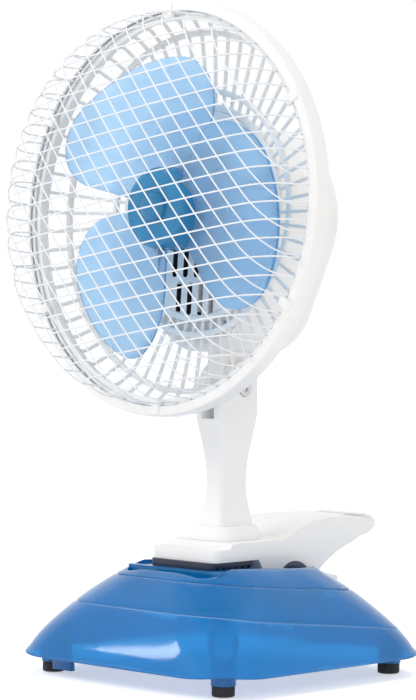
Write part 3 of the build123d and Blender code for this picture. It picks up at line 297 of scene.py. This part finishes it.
def edit(piece):
    """Opens a piece for editing, with all of it selected."""
    only(piece)
    bpy.ops.object.mode_set(mode="EDIT")
    bpy.ops.mesh.select_mode(type="VERT")
    bpy.ops.mesh.select_all(action="SELECT")


def leave():
    """Closes the piece that is open for editing."""
    bpy.ops.object.mode_set(mode="OBJECT")


def settle(piece, where=None):
    """Puts the piece's place into its mesh, so that its object sits unturned at the origin."""
    if where is not None:
        piece.matrix_world = where @ piece.matrix_world
    only(piece)
    bpy.ops.object.transform_apply(location=True, rotation=True, scale=True)


def round_edges(piece, width, segments=2, angle=32):
    """Bevels the sharp edges and smooths the shading."""
    only(piece)
    bpy.ops.object.shade_smooth()
    if width > 0:
        bevel = piece.modifiers.new("edges", "BEVEL")
        bevel.width = width
        bevel.segments = segments
        bevel.limit_method = "ANGLE"
        bevel.angle_limit = radians(angle)
        bevel.use_clamp_overlap = True
        bpy.ops.object.modifier_apply(modifier=bevel.name)
    bpy.ops.object.shade_smooth_by_angle(angle=radians(angle))


def hand_over(piece, name, slot, body, *nodes):
    """Names a finished piece, gives it its material and body, and lets it stand for CAD nodes."""
    piece.name = name
    piece.data.name = name
    piece.data.materials.clear()
    piece.data.materials.append(finish_of(slot))
    if nodes:
        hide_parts(*nodes)
    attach(piece, body)


def dress(node, edge, segments=2, angle=32, slot=None, shape=None):
    """A merged copy of a CAD node that stands for it, shaped if need be; `edge` is in millimetres."""
    source = frame["nodes"][node]
    piece = bpy.data.objects.new(node + "_finished", source.data.copy())
    bpy.context.scene.collection.objects.link(piece)
    only(piece)
    if piece.data.has_custom_normals:
        bpy.ops.mesh.customdata_custom_splitnormals_clear()
    edit(piece)
    bpy.ops.mesh.remove_doubles(threshold=MERGE_WITHIN)
    bpy.ops.mesh.dissolve_limited(angle_limit=FLAT_WITHIN)
    leave()
    if shape:
        shape(piece)
    round_edges(piece, edge * MM, segments, angle)
    hand_over(piece, node + "_finished", slot or NODE_SLOT[node], NODE_BODY[node], node)
    return piece


def paint_faces(piece, slot, chosen, local=Matrix()):
    """Gives the faces that `chosen` picks by place and direction a finish of their own."""
    piece.data.materials.append(finish_of(slot))
    index = len(piece.data.materials) - 1
    turned = local.to_3x3()
    for face in piece.data.polygons:
        if chosen(local @ face.center, turned @ face.normal):
            face.material_index = index


def paint(*nodes):
    """Gives CAD nodes whose shape is right their finished materials."""
    for node in nodes:
        target = frame["nodes"][node]
        for place in target.material_slots:
            place.material = finish_of(NODE_SLOT[node])


def outline(name, points):
    """A closed outline in the plane of X and Z, as a ring of edges."""
    bpy.ops.object.select_all(action="DESELECT")
    bpy.ops.mesh.primitive_circle_add(vertices=len(points), radius=1)
    piece = bpy.context.object
    piece.name = name
    for vertex, (across, up) in zip(piece.data.vertices, points):
        vertex.co = (across, 0, up)
    return piece


def spin_outline(piece, steps):
    """Turns an outline once round the Z axis."""
    edit(piece)
    bpy.ops.mesh.spin(steps=steps, angle=2 * pi, center=(0, 0, 0), axis=(0, 0, 1))
    bpy.ops.mesh.select_all(action="SELECT")
    bpy.ops.mesh.remove_doubles(threshold=SEAM_WITHIN)
    bpy.ops.mesh.normals_make_consistent(inside=False)
    leave()


def rounded(points, radius, steps=3):
    """A closed outline's points with every corner rounded."""
    result = []
    count = len(points)
    for index in range(count):
        corner = Vector(points[index])
        back = Vector(points[index - 1]) - corner
        on = Vector(points[(index + 1) % count]) - corner
        reach = min(radius, back.length * CORNER_SHARE, on.length * CORNER_SHARE)
        start = corner + back.normalized() * reach
        end = corner + on.normalized() * reach
        for step in range(steps + 1):
            part = step / steps
            place = (1 - part) ** 2 * start + 2 * part * (1 - part) * corner + part ** 2 * end
            result.append(tuple(place))
    return result


# ---------------------------------------------------------------- guard
CROWN_LEAD = (6.0 * MM, -3.2 * MM)    # direction in which the crown runs into the shoulder
CROWN_STEPS, SHOULDER_STEPS = 24, 12
WIRE_STEPS, WIRE_STEPS_MORE = 30, 50    # steps of the shortest wire, and how many more the longest has
WIRE_BEHIND = 0.55    # how far the flatter wires lie behind the steeper ones, in wires
WIRE_MARGIN = 2.5 * MM    # no wire runs nearer to the foot's circle
HOOP_INSET, HOOP_THICK = 0.1 * MM, 0.8 * MM
RING_STEPS = 144
RING_SMOOTH, BACK_SMOOTH = radians(40), radians(50)    # turns between faces that are shaded as one


def bezier(holds, part):
    """A point on the cubic curve that four holds draw."""
    first, second, third, last = holds
    rest = 1 - part
    return (first * rest ** 3 + second * 3 * rest * rest * part
            + third * 3 * rest * part * part + last * part ** 3)


def dome_profile(sizes):
    """Radius and height along the middle line of the dome's wires, from the crown to the foot."""
    inset = sizes.wire / 2
    top = sizes.crown_height - inset
    edge = Vector((sizes.crown_radius - inset / 2, sizes.crown_edge - inset))
    lead = Vector(CROWN_LEAD)
    holds = [Vector((0, top)), Vector((edge.x / 2, top)), edge - lead, edge]
    points = [bezier(holds, step / CROWN_STEPS) for step in range(CROWN_STEPS + 1)]
    # arc that leaves the crown in its own direction and ends on the side wall
    start, end = points[-1], Vector((sizes.shoulder_radius - inset, sizes.shoulder_height))
    ahead = lead.normalized()
    normal = Vector((ahead.y, -ahead.x))
    chord = end - start
    middle = start + normal * (chord.length_squared / (2 * chord.dot(normal)))
    sweep = (start - middle).angle_signed(end - middle)
    for step in range(1, SHOULDER_STEPS + 1):
        points.append(middle + Matrix.Rotation(-sweep * step / SHOULDER_STEPS, 2) @ (start - middle))
    points.append(Vector((sizes.foot_radius - inset, 0)))
    return points


def dome_height(profile, radius):
    """Height of the wires' middle line over the ring plane at a radius."""
    for inner, outer in zip(profile, profile[1:]):
        if radius <= outer.x:
            return inner.y + (outer.y - inner.y) * (radius - inner.x) / (outer.x - inner.x)
    return profile[-1].y


def dome_wire(curve, profile, turned, offset, lift):
    """One wire of the dome: a straight line from the front, bent over the dome."""
    foot = profile[-1].x
    along = Vector((cos(turned), sin(turned)))
    across = Vector((-sin(turned), cos(turned)))
    half = sqrt(foot ** 2 - offset ** 2)
    steps = WIRE_STEPS + int(WIRE_STEPS_MORE * half / foot)
    points = []
    for step in range(steps + 1):
        place = along * half * sin(pi * (step / steps - 0.5)) + across * offset
        points.append((place.x, place.y, dome_height(profile, min(place.length, foot)) - lift, 1))
    spline = curve.splines.new("POLY")
    spline.points.add(steps)
    for point, place in zip(spline.points, points):
        point.co = place


class FAN_OT_dome(bpy.types.Operator):
    """Domed front of the guard, in two families of crossing wires"""
    bl_idname = "fan.dome"
    bl_label = "Wire dome"
    bl_options = {"REGISTER", "UNDO"}

    def execute(self, context):
        sizes = context.scene.fan_guard
        curve = bpy.data.curves.new("dome_wires", "CURVE")
        curve.dimensions = "3D"
        curve.bevel_depth = sizes.wire / 2
        curve.bevel_resolution = 1
        curve.use_fill_caps = True
        profile = dome_profile(sizes)
        for turned, pitch, start, lift in (
            (sizes.steep_turn, sizes.steep_pitch, sizes.steep_start, 0.0),
            (sizes.flat_turn, sizes.flat_pitch, sizes.flat_start, sizes.wire * WIRE_BEHIND),
        ):
            count = int(sizes.foot_radius / pitch) + 1
            for index in range(-count, count + 1):
                offset = start + index * pitch
                if abs(offset) < sizes.foot_radius - WIRE_MARGIN:
                    dome_wire(curve, profile, turned, offset, lift)
        piece = bpy.data.objects.new("dome_wires", curve)
        context.scene.collection.objects.link(piece)
        only(piece)
        bpy.ops.object.convert(target="MESH")
        piece = context.object
        bpy.ops.object.shade_smooth()
        # hoop that the wires end on, inside the ring's lip
        bpy.ops.object.select_all(action="DESELECT")
        bpy.ops.mesh.primitive_torus_add(
            major_radius=sizes.foot_radius - HOOP_INSET, minor_radius=HOOP_THICK,
            major_segments=RING_STEPS, minor_segments=10)
        hoop = context.object
        bpy.ops.object.shade_smooth()
        only(piece, hoop)
        bpy.ops.object.join()
        settle(piece, HEAD)
        hand_over(piece, "wire_dome", "white_wire", "head", "front_grille")
        return {"FINISHED"}


RING_WALL, RING_LIP, RING_EASE = 1.8 * MM, 1.6 * MM, 0.7 * MM
RING_SHOULDER, RING_DROP = 1.7 * MM, 0.55 * MM    # width and fall of the rounder front corner
TAB_SIZE = (7.2 * MM, 4.6 * MM, 2.6 * MM)
TAB_INWARD, TAB_BEHIND, TAB_EASE = 2.1 * MM, 0.6 * MM, 0.5 * MM
TAB_TURN = radians(92)    # where the first clip sits


class FAN_OT_ring(bpy.types.Operator):
    """Ring that joins the two halves of the guard, with its clips"""
    bl_idname = "fan.ring"
    bl_label = "Guard ring"
    bl_options = {"REGISTER", "UNDO"}

    def execute(self, context):
        sizes = context.scene.fan_guard
        outer, inner = sizes.ring_radius, sizes.ring_inner
        front, back = sizes.ring_front, -sizes.ring_back
        section = rounded([
            (inner, front - RING_LIP), (inner, front), (outer, front), (outer, back),
            (outer - RING_WALL, back), (outer - RING_WALL, front - RING_LIP)], RING_EASE)
        piece = outline("guard_ring_section", section)
        # the front outer corner is rounder than the rest
        for vertex in piece.data.vertices:
            across, up = vertex.co.x, vertex.co.z
            over = (across - (outer - RING_SHOULDER)) / RING_SHOULDER
            if over > 0 and up > 0:
                vertex.co.z = up - over * over * RING_DROP
        spin_outline(piece, RING_STEPS)
        only(piece)
        bpy.ops.object.shade_smooth_by_angle(angle=RING_SMOOTH)
        clips = []
        for index in range(sizes.tab_count):
            bpy.ops.object.select_all(action="DESELECT")
            bpy.ops.mesh.primitive_cube_add(size=1)
            clip = context.object
            clip.scale = TAB_SIZE
            clip.location = ((inner + outer) / 2 - TAB_INWARD, 0, front - TAB_BEHIND)
            settle(clip)
            round_edges(clip, TAB_EASE, 3)
            settle(clip, Matrix.Rotation(TAB_TURN + 2 * pi * index / sizes.tab_count, 4, "Z"))
            clips.append(clip)
        only(piece, *clips)
        bpy.ops.object.join()
        settle(piece, HEAD)
        hand_over(piece, "guard_ring_finished", "white_plastic", "head", "guard_ring")
        return {"FINISHED"}


RIB_THICK, RIB_EASE = 1.9 * MM, 0.45 * MM
RIB_INNER, RIB_START = 46 * MM, 0.8 * MM    # radius of the slope's start, and where the ribs begin past it
RIB_STOPS = (60 * MM, 70 * MM)    # radii of the points along the slope
RIB_SLOPE_END = 2.4 * MM    # where the slope ends, short of the bend
RIB_BEND = ((-0.6, 0.2), (1.2, 1.4))    # past the bend's radius and over its height, in millimetres
# past the outer radius, and height, in millimetres
RIB_WALL = ((-2.2, -11.8), (-0.9, -10.2), (-0.5, -8.2), (-0.5, -7.0))
# inner and outer radius of the bands that lie on the slope, and their thickness, in millimetres
SLOPE_BANDS, SLOPE_BAND_THICK = ((79, 81.6), (53.4, 56)), 2.2
# inner and outer radius, lower and upper height of the other bands, in millimetres
LEVEL_BANDS = ((46, 49, -24, -21), (86.4, 88, -8.5, -2), (84, 89.6, -2.7, -1.1))
BAND_EASE, BAND_STEPS = 0.5 * MM, 120


class FAN_OT_back(bpy.types.Operator):
    """Ribbed back of the guard"""
    bl_idname = "fan.back"
    bl_label = "Ribbed back"
    bl_options = {"REGISTER", "UNDO"}

    @staticmethod
    def slope_at(sizes, radius):
        """Height of the ribs' outside between the motor plate and the bend."""
        return -sizes.bowl_depth + sizes.bowl_rise * (radius - RIB_INNER) / (sizes.bowl_bend - RIB_INNER)

    def rib_path(self, sizes):
        """Radius and height along the outside of a rib, from the motor plate to the ring."""
        bend, level = sizes.bowl_bend, -sizes.bowl_depth + sizes.bowl_rise
        path = [(radius, self.slope_at(sizes, radius))
                for radius in (RIB_INNER + RIB_START, *RIB_STOPS, bend - RIB_SLOPE_END)]
        path += [(bend + past * MM, level + over * MM) for past, over in RIB_BEND]
        path += [(sizes.bowl_radius + past * MM, height * MM) for past, height in RIB_WALL]
        return path

    @staticmethod
    def rib_shape(path, half):
        """Mesh of one rib: an eight-sided section carried along a path."""
        shell = bmesh.new()
        rows = []
        for index, (radius, height) in enumerate(path):
            before, after = path[max(index - 1, 0)], path[min(index + 1, len(path) - 1)]
            slope = Vector((after[0] - before[0], after[1] - before[1])).normalized()
            inward = Vector((-slope.y, slope.x)) * RIB_THICK
            low, high = (radius, height), (radius + inward.x, height + inward.y)
            lean = inward.normalized() * RIB_EASE
            row = [
                (low[0], -half + RIB_EASE, low[1]), (low[0] + lean.x, -half, low[1] + lean.y),
                (high[0] - lean.x, -half, high[1] - lean.y), (high[0], -half + RIB_EASE, high[1]),
                (high[0], half - RIB_EASE, high[1]), (high[0] - lean.x, half, high[1] - lean.y),
                (low[0] + lean.x, half, low[1] + lean.y), (low[0], half - RIB_EASE, low[1]),
            ]
            rows.append([shell.verts.new(place) for place in row])
        for one, two in zip(rows, rows[1:]):
            for side in range(8):
                beside = (side + 1) % 8
                shell.faces.new((one[side], one[beside], two[beside], two[side]))
        shell.faces.new(rows[0])
        shell.faces.new(rows[-1])
        bmesh.ops.recalc_face_normals(shell, faces=shell.faces)
        rib_mesh = bpy.data.meshes.new("rib")
        shell.to_mesh(rib_mesh)
        shell.free()
        return rib_mesh

    def bands(self, sizes):
        """The bands that hold the ribs together."""
        places = []
        for inner, outer in SLOPE_BANDS:
            low = self.slope_at(sizes, inner * MM) / MM
            places.append((inner, outer, low, low + SLOPE_BAND_THICK))
        made = []
        for inner, outer, low, high in (*places, *LEVEL_BANDS):
            section = rounded([(inner * MM, low * MM), (outer * MM, low * MM),
                               (outer * MM, high * MM), (inner * MM, high * MM)], BAND_EASE, 2)
            band = outline("band", section)
            spin_outline(band, BAND_STEPS)
            made.append(band)
        return made

    def execute(self, context):
        sizes = context.scene.fan_guard
        rib_mesh = self.rib_shape(self.rib_path(sizes), sizes.rib_width / 2)
        ribs = []
        for index in range(sizes.rib_count):
            rib = bpy.data.objects.new("rib", rib_mesh.copy())
            context.scene.collection.objects.link(rib)
            rib.matrix_world = Matrix.Rotation(2 * pi * index / sizes.rib_count, 4, "Z")
            ribs.append(rib)
        only(*ribs)
        bpy.ops.object.transform_apply(location=True, rotation=True, scale=True)
        bpy.ops.object.join()
        piece = context.object
        only(piece, *self.bands(sizes))
        bpy.ops.object.join()
        bpy.ops.object.shade_smooth_by_angle(angle=BACK_SMOOTH)
        settle(piece, HEAD)
        hand_over(piece, "ribbed_back", "white_plastic", "head", "rear_guard")
        return {"FINISHED"}


# ---------------------------------------------------------------- housing
# the motor cover across the fan's axis, in millimetres, inside which shade is painted: a round part, a lobe below
# it, screw columns
COVER_RADIUS, LOBE_RADIUS, LOBE_DROP = 41.5, 29.5, 33
COLUMNS, COLUMN_RADIUS = ((-33, 0), (33, 0), (-17, -49), (17, -49)), 6
COVER_BOTTOM = -30 * MM    # the cover's inner floor lies behind this
FACES_ASIDE, FACES_ASIDE_SLOT = 0.5, 0.3    # faces that point less along the axis are side walls


class FAN_OT_housing(bpy.types.Operator):
    """Motor plate, motor cover, switch knob and screws, with painted shade inside the cover"""
    bl_idname = "fan.housing"
    bl_label = "Motor housing"
    bl_options = {"REGISTER", "UNDO"}

    @staticmethod
    def in_cover(place):
        """Way to a place from the cover's middle line, or None outside the cover or on a screw."""
        drop = -LOBE_DROP * MM
        aside = place - Vector((0, min(0.0, max(drop, place.y)), place.z))
        if aside.length > (LOBE_RADIUS if place.y < drop else COVER_RADIUS) * MM:
            return None
        for across, up in COLUMNS:
            if hypot(place.x - across * MM, place.y - up * MM) < COLUMN_RADIUS * MM:
                return None
        return aside

    def inner_wall(self, place, out):
        """True on the cover's walls that face the motor, which are painted as shade."""
        aside = self.in_cover(place)
        if aside is None:
            return False
        if abs(out.z) <= FACES_ASIDE:
            return out.xy.dot(aside.xy) < 0
        return out.z > 0 and place.z < COVER_BOTTOM

    def in_slot(self, place, out):
        """True on the walls of the plate's slots, which are painted as shade."""
        aside = abs(out.z) < FACES_ASIDE_SLOT and out.xy.dot(place.xy) < 0
        return aside and self.in_cover(place) is not None

    def execute(self, context):
        plate = dress("motor_plate", 0.35)
        # the plate's slot walls and the cover's inside get painted shade, near black
        paint_faces(plate, "inside_painted_shade", self.in_slot, HEAD.inverted())
        cover = dress("motor_cover", 0.5)
        paint_faces(cover, "inside_painted_shade", self.inner_wall, HEAD.inverted())
        dress("speed_knob", 0.4)
        paint("stator_core", "motor_coil", "bearing_bracket_front", "bearing_bracket_rear", "bearing_front",
              "bearing_rear", "motor_screws", "cover_screws", "speed_switch", "rotor", "shaft")
        return {"FINISHED"}


# ---------------------------------------------------------------- impeller
LIFT_FROM, LIFT_EASE = 2 * MM, 2 * MM    # where the hub's deepening starts, and over what height
HUB_MARGIN, HUB_PAINT = 0.1 * MM, 0.4 * MM    # past the hub's radius, what is lifted and what painted
EDGE_FACES = 0.7    # faces of the blades that point less along the axis are their edges


class FAN_OT_impeller(bpy.types.Operator):
    """Blades, hub and hub cap"""
    bl_idname = "fan.impeller"
    bl_label = "Impeller"
    bl_options = {"REGISTER", "UNDO"}

    @staticmethod
    def bring_forward(piece, sizes):
        """Deepens the hub towards the front, and carries the cap with it."""
        local = HEAD.inverted()
        for vertex in piece.data.vertices:
            place = local @ vertex.co
            if place.xy.length < sizes.hub_radius + HUB_MARGIN and place.z > LIFT_FROM:
                vertex.co += AHEAD * sizes.hub_lift * min(1.0, (place.z - LIFT_FROM) / LIFT_EASE)

    def execute(self, context):
        sizes = context.scene.fan_guard
        hub, local = sizes.hub_radius + HUB_PAINT, HEAD.inverted()

        def on_edge(place, out):
            return abs(out.z) < EDGE_FACES and place.xy.length > hub

        def on_hub(place, out):
            return place.xy.length <= hub

        piece = dress("impeller", 0.25)
        self.bring_forward(piece, sizes)
        paint_faces(piece, "blade_rim", on_edge, local)
        paint_faces(piece, "hub_blue", on_hub, local)
        self.bring_forward(dress("hub_cap", 0.3, slot="hub_blue"), sizes)
        return {"FINISHED"}


# ---------------------------------------------------------------- neck and clip
class FAN_OT_neck(bpy.types.Operator):
    """Neck, collar and their screws"""
    bl_idname = "fan.neck"
    bl_label = "Neck"
    bl_options = {"REGISTER", "UNDO"}

    def execute(self, context):
        dress("neck", 0.5, 3)
        dress("neck_collar", 0.5, 3)
        dress("tilt_screw", 0.2)
        dress("tilt_nut", 0.2)
        paint("swivel_washer", "swivel_screw")
        return {"FINISHED"}


LEVER_CORNER, LEVER_EDGE = 12 * MM, 2.4 * MM    # radius of the end's corners, width of its drawn edge
LEVER_LEVEL, LEVER_FALL = 62.5 * MM, 0.4    # height that the edge is drawn to, and its fall to the front
LEVER_DRAW = 2.3 * MM    # by how much at most


class FAN_OT_clip(bpy.types.Operator):
    """Both jaws of the clip, their pads, pin, caps and spring"""
    bl_idname = "fan.clip"
    bl_label = "Clip"
    bl_options = {"REGISTER", "UNDO"}

    @staticmethod
    def round_lever(piece):
        """Draws in the outer edges of the lever's end, above and below, like a tongue."""
        reach = max(vertex.co.y for vertex in piece.data.vertices)
        side = max(vertex.co.x for vertex in piece.data.vertices)
        for vertex in piece.data.vertices:
            across = abs(vertex.co.x) - side + LEVER_CORNER
            along = vertex.co.y - reach + LEVER_CORNER
            if along < -LEVER_CORNER:
                continue
            from_corner = hypot(across, along) if across > 0 and along > 0 else max(across, along)
            inside = LEVER_CORNER - from_corner
            fade = min(1.0, (along + LEVER_CORNER) / LEVER_CORNER) * max(0.0, 1 - inside / LEVER_EDGE)
            level = LEVER_LEVEL - max(0.0, -along) * LEVER_FALL
            vertex.co.z += max(-LEVER_DRAW, min(LEVER_DRAW, level - vertex.co.z)) * fade

    def execute(self, context):
        dress("clip_upper_jaw", 0.6, 3, shape=self.round_lever)
        dress("clip_lower_jaw", 0.6, 3)
        dress("upper_jaw_pad", 0.4)
        dress("lower_jaw_pad", 0.4)
        dress("hinge_caps", 0.5, 3)
        paint("hinge_pin", "torsion_spring")
        return {"FINISHED"}


# ---------------------------------------------------------------- base
# height, half width, corner radius in the CAD and softer corner radius of the base, in millimetres
PILLOW = ((7.0, 69.2, 24.0, 23.0), (12.0, 68.2, 25.0, 25.0), (22.0, 63.4, 27.0, 29.0),
          (31.0, 57.0, 29.0, 33.0), (39.0, 50.2, 32.0, 35.0), (45.5, 42.5, 33.0, 34.0),
          (49.5, 35.0, 28.0, 28.0))
PILLOW_BULGE = ((7.0, 1.9), (31.0, 1.9), (41.0, 0.0))    # height, swell of the sides at their middles
BASE_STEPS = ((41.5, 4.9), (26.8, 6.3))    # height over the middle and fall to the rear, in degrees
STEP_HALF, STEP_DEEP = 0.4, 1.2    # half width of a step, depth of the wall that it marks
FEET_TOP = 6.9    # nothing is softened below this
POST_AT, POST_RADIUS, POST_TOP = 53.6, 5.7, 14    # posts of the feet, which stay as they are
EDGE_TOP, EDGE_LIFT, CORNER_LIFT = 12, 0.1, 0.4    # the edge is lifted below this, most at the corners
BASE_MIDDLE = (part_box("base_shell")[0][1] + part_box("base_shell")[1][1]) / 2


def pillow_at(height):
    """Half width, moulded corner radius and softer corner radius of the base at a height."""
    for lower, upper in zip(PILLOW, PILLOW[1:]):
        if height <= upper[0]:
            break
    part = min(1.0, max(0.0, (height - lower[0]) / (upper[0] - lower[0])))
    return [low + (high - low) * part for low, high in zip(lower[1:], upper[1:])]


def pillow_reach(half, corner, across, along):
    """Distance from the middle to the wall of a rounded square, in the direction of a point."""
    aside = atan(min(across, along) / max(across, along, 1e-6))
    flat = half - corner
    if tan(aside) * half <= flat:
        return half / cos(aside)
    slant = flat * (cos(aside) + sin(aside))
    return slant + sqrt(slant * slant - 2 * flat * flat + corner * corner)


def swell_at(height):
    """Swell of the base's sides at a height."""
    for (low, first), (high, second) in zip(PILLOW_BULGE, PILLOW_BULGE[1:]):
        if height <= high:
            return first + (second - first) * max(0.0, height - low) / (high - low)
    return 0.0


class FAN_OT_base(bpy.types.Operator):
    """Clear blue base and its rubber feet"""
    bl_idname = "fan.base"
    bl_label = "Base"
    bl_options = {"REGISTER", "UNDO"}

    @staticmethod
    def on_a_step(place, out):
        """True inside the two fine steps that run round the base, which get a painted highlight."""
        across, along, height = abs(place.x) / MM, abs(place.y - BASE_MIDDLE) / MM, place.z / MM
        half, _, soft = pillow_at(height)
        if hypot(across, along) < pillow_reach(half, soft, across, along) - STEP_DEEP:
            return False
        rear = (place.y - BASE_MIDDLE) / MM
        return any(abs(height - level + rear * tan(radians(fall))) < STEP_HALF
                   for level, fall in BASE_STEPS)

    @staticmethod
    def soften(piece):
        """Rounds the base's lower corners further and lifts its edge off the feet."""
        for vertex in piece.data.vertices:
            across, along = abs(vertex.co.x) / MM, abs(vertex.co.y - BASE_MIDDLE) / MM
            height = vertex.co.z / MM
            on_post = hypot(across - POST_AT, along - POST_AT) < POST_RADIUS
            if height < FEET_TOP or height > PILLOW[-1][0] or (on_post and height < POST_TOP):
                continue
            half, corner, soft = pillow_at(height)
            ratio = pillow_reach(half, soft, across, along) / pillow_reach(half, corner, across, along)
            ratio *= 1 + swell_at(height) * (1 - (min(across, along) / half) ** 2) / half
            vertex.co.x *= ratio
            vertex.co.y = BASE_MIDDLE + (vertex.co.y - BASE_MIDDLE) * ratio
            if height < EDGE_TOP:
                corner_wise = (min(across, along) / max(across, along)) ** 2
                kept = 1 - EDGE_LIFT - CORNER_LIFT * corner_wise
                vertex.co.z = (EDGE_TOP - (EDGE_TOP - height) * kept) * MM

    def execute(self, context):
        piece = dress("base_shell", 0.3)
        self.soften(piece)
        # the fine steps get a painted highlight for the light that their edges catch
        paint_faces(piece, "step_painted_highlight", self.on_a_step)
        for foot in ("foot_front_left", "foot_front_right", "foot_rear_left", "foot_rear_right"):
            dress(foot, 0.4)
        return {"FINISHED"}


# ---------------------------------------------------------------- stage
FAN_MIDDLE, BASE_FRONT = (0, 0, 0.15), (0, 0, 0.03)
# name, place, aim, width, power, and more of the one lamp that shows in the gloss
LAMPS = (
    ("key", (-0.6, -1.3, 1.1), FAN_MIDDLE, 0.9, 9, {}),
    ("fill", (1.5, -0.7, 0.7), FAN_MIDDLE, 1.0, 7, {}),
    ("top", (0.1, 0.4, 1.5), FAN_MIDDLE, 0.9, 5, {}),
    ("window", (-1.06, -0.94, 0.9), BASE_FRONT, 0.17, 3.0, {"height": 0.56, "mirrored": True}),
)
FLOOR_SIZE, FLOOR_DROP, FLOOR_GLOW, FLOOR_ROUGH = 8, 0.0004, 0.5, 0.9
SURROUND_DIM, SURROUND_BRIGHT = 0.6, 1.0    # as it lights the fan, and as it is seen
CAMERA_ROUND, CAMERA_RISE, CAMERA_LEAN = radians(44.3), radians(0.95), radians(0.45)
CAMERA_HEIGHT, CAMERA_REACH = 0.160, 1.3    # height of its aim and distance from it
CAMERA_SENSOR, CAMERA_LENS = 24, 98.6
CAMERA_SHIFT = (-16 / 700, -31.5 / 700)    # in parts of the view's height


def lamp(name, place, aim, size, power, height=None, mirrored=False):
    """A soft lamp that looks at a point; only a mirrored one shows in the plastics' gloss."""
    light = bpy.data.lights.new(name, "AREA")
    light.shape = "RECTANGLE"
    light.size = size
    light.size_y = height or size
    light.energy = power
    stand = bpy.data.objects.new(name, light)
    stand.location = place
    stand.rotation_euler = (Vector(aim) - Vector(place)).to_track_quat("-Z", "Y").to_euler()
    stand.visible_glossy = mirrored
    bpy.context.scene.collection.objects.link(stand)


def seen_directly(nodes, links):
    """1 where a camera, glossy or transmission ray arrives, 0 elsewhere."""
    path = nodes.new("ShaderNodeLightPath")
    first = nodes.new("ShaderNodeMath")
    first.operation = "MAXIMUM"
    second = nodes.new("ShaderNodeMath")
    second.operation = "MAXIMUM"
    links.new(path.outputs["Is Camera Ray"], first.inputs[0])
    links.new(path.outputs["Is Glossy Ray"], first.inputs[1])
    links.new(first.outputs[0], second.inputs[0])
    links.new(path.outputs["Is Transmission Ray"], second.inputs[1])
    return second.outputs[0]


class FAN_OT_stage(bpy.types.Operator):
    """Pale floor, white surround, soft lamps and camera"""
    bl_idname = "fan.stage"
    bl_label = "Stage"
    bl_options = {"REGISTER", "UNDO"}

    @staticmethod
    def lay_floor(scene):
        """Pale floor that glows a little, so that it runs into the surround."""
        bpy.ops.object.select_all(action="DESELECT")
        bpy.ops.mesh.primitive_grid_add(
            x_subdivisions=4, y_subdivisions=4, size=FLOOR_SIZE, location=(0, 0, -FLOOR_DROP))
        floor = bpy.context.object
        floor.name = "floor"
        settle(floor)
        material, nodes, links, shader = new_material("floor_pale")
        slow = noise(nodes, links, FLOOR_CLOUDS)
        vary_shade(nodes, links, slow, scene.fan_colours.floor, FLOOR_SPREAD, shader)
        shader.inputs["Roughness"].default_value = FLOOR_ROUGH
        glow = nodes.new("ShaderNodeMath")
        glow.operation = "MULTIPLY"
        glow.inputs[1].default_value = FLOOR_GLOW
        links.new(seen_directly(nodes, links), glow.inputs[0])
        shader.inputs["Emission Color"].default_value = (1, 1, 1, 1)
        links.new(glow.outputs[0], shader.inputs["Emission Strength"])
        floor.data.materials.append(material)

    @staticmethod
    def put_surround(scene):
        """White surround, which lights the fan less than it shows."""
        world = bpy.data.worlds.new("surround")
        scene.world = world
        world.use_nodes = True
        tree = world.node_tree
        background = tree.nodes["Background"]
        background.inputs["Color"].default_value = (1, 1, 1, 1)
        strength = tree.nodes.new("ShaderNodeMapRange")
        strength.inputs["To Min"].default_value = SURROUND_DIM
        strength.inputs["To Max"].default_value = SURROUND_BRIGHT
        tree.links.new(seen_directly(tree.nodes, tree.links), strength.inputs["Value"])
        tree.links.new(strength.outputs["Result"], background.inputs["Strength"])

    @staticmethod
    def set_camera(scene):
        """Camera level with the fan, to the right of its front."""
        low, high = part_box("base_shell")
        aim = Vector((0, (low[1] + high[1]) / 2, CAMERA_HEIGHT))
        back = Vector((sin(CAMERA_ROUND) * cos(CAMERA_RISE), -cos(CAMERA_ROUND) * cos(CAMERA_RISE),
                       sin(CAMERA_RISE)))
        camera_data = bpy.data.cameras.new("camera")
        camera_data.sensor_fit = "VERTICAL"
        camera_data.sensor_height = CAMERA_SENSOR
        camera_data.lens = CAMERA_LENS
        camera_data.shift_x, camera_data.shift_y = CAMERA_SHIFT
        camera_data.clip_start = 0.05
        camera = bpy.data.objects.new("camera", camera_data)
        camera.location = aim + back * CAMERA_REACH
        turned = back.to_track_quat("Z", "Y").to_matrix().to_4x4()
        camera.rotation_euler = (turned @ Matrix.Rotation(CAMERA_LEAN, 4, "Z")).to_euler()
        scene.collection.objects.link(camera)
        scene.camera = camera

    def execute(self, context):
        scene = context.scene
        scene.view_settings.view_transform = "Standard"
        self.lay_floor(scene)
        self.put_surround(scene)
        for name, place, aim, size, power, more in LAMPS:
            lamp(name, place, aim, size, power, **more)
        self.set_camera(scene)
        return {"FINISHED"}


# ---------------------------------------------------------------- add-on
PIECES = (FAN_OT_stage, FAN_OT_base, FAN_OT_clip, FAN_OT_neck, FAN_OT_ring, FAN_OT_dome, FAN_OT_back,
          FAN_OT_housing, FAN_OT_impeller)


class FAN_PT_panel(bpy.types.Panel):
    """Lists the fan's pieces, sizes and colours"""
    bl_idname = "FAN_PT_panel"
    bl_label = "Clip Desk Fan"
    bl_space_type = "VIEW_3D"
    bl_region_type = "UI"
    bl_category = "Fan"

    def draw(self, context):
        for piece in PIECES:
            self.layout.operator(piece.bl_idname)
        for group in (context.scene.fan_guard, context.scene.fan_colours):
            box = self.layout.box()
            for key in group.__annotations__:
                box.prop(group, key)


CLASSES = (FanGuardSizes, FanColours, *PIECES, FAN_PT_panel)


def register():
    for cls in CLASSES:
        bpy.utils.register_class(cls)
    bpy.types.Scene.fan_guard = PointerProperty(type=FanGuardSizes)
    bpy.types.Scene.fan_colours = PointerProperty(type=FanColours)


def unregister():
    del bpy.types.Scene.fan_colours
    del bpy.types.Scene.fan_guard
    for cls in reversed(CLASSES):
        bpy.utils.unregister_class(cls)


def main():
    register()
    for piece in PIECES:
        group, action = piece.bl_idname.split(".")
        getattr(getattr(bpy.ops, group), action)()


if __name__ == "__main__":
    main()
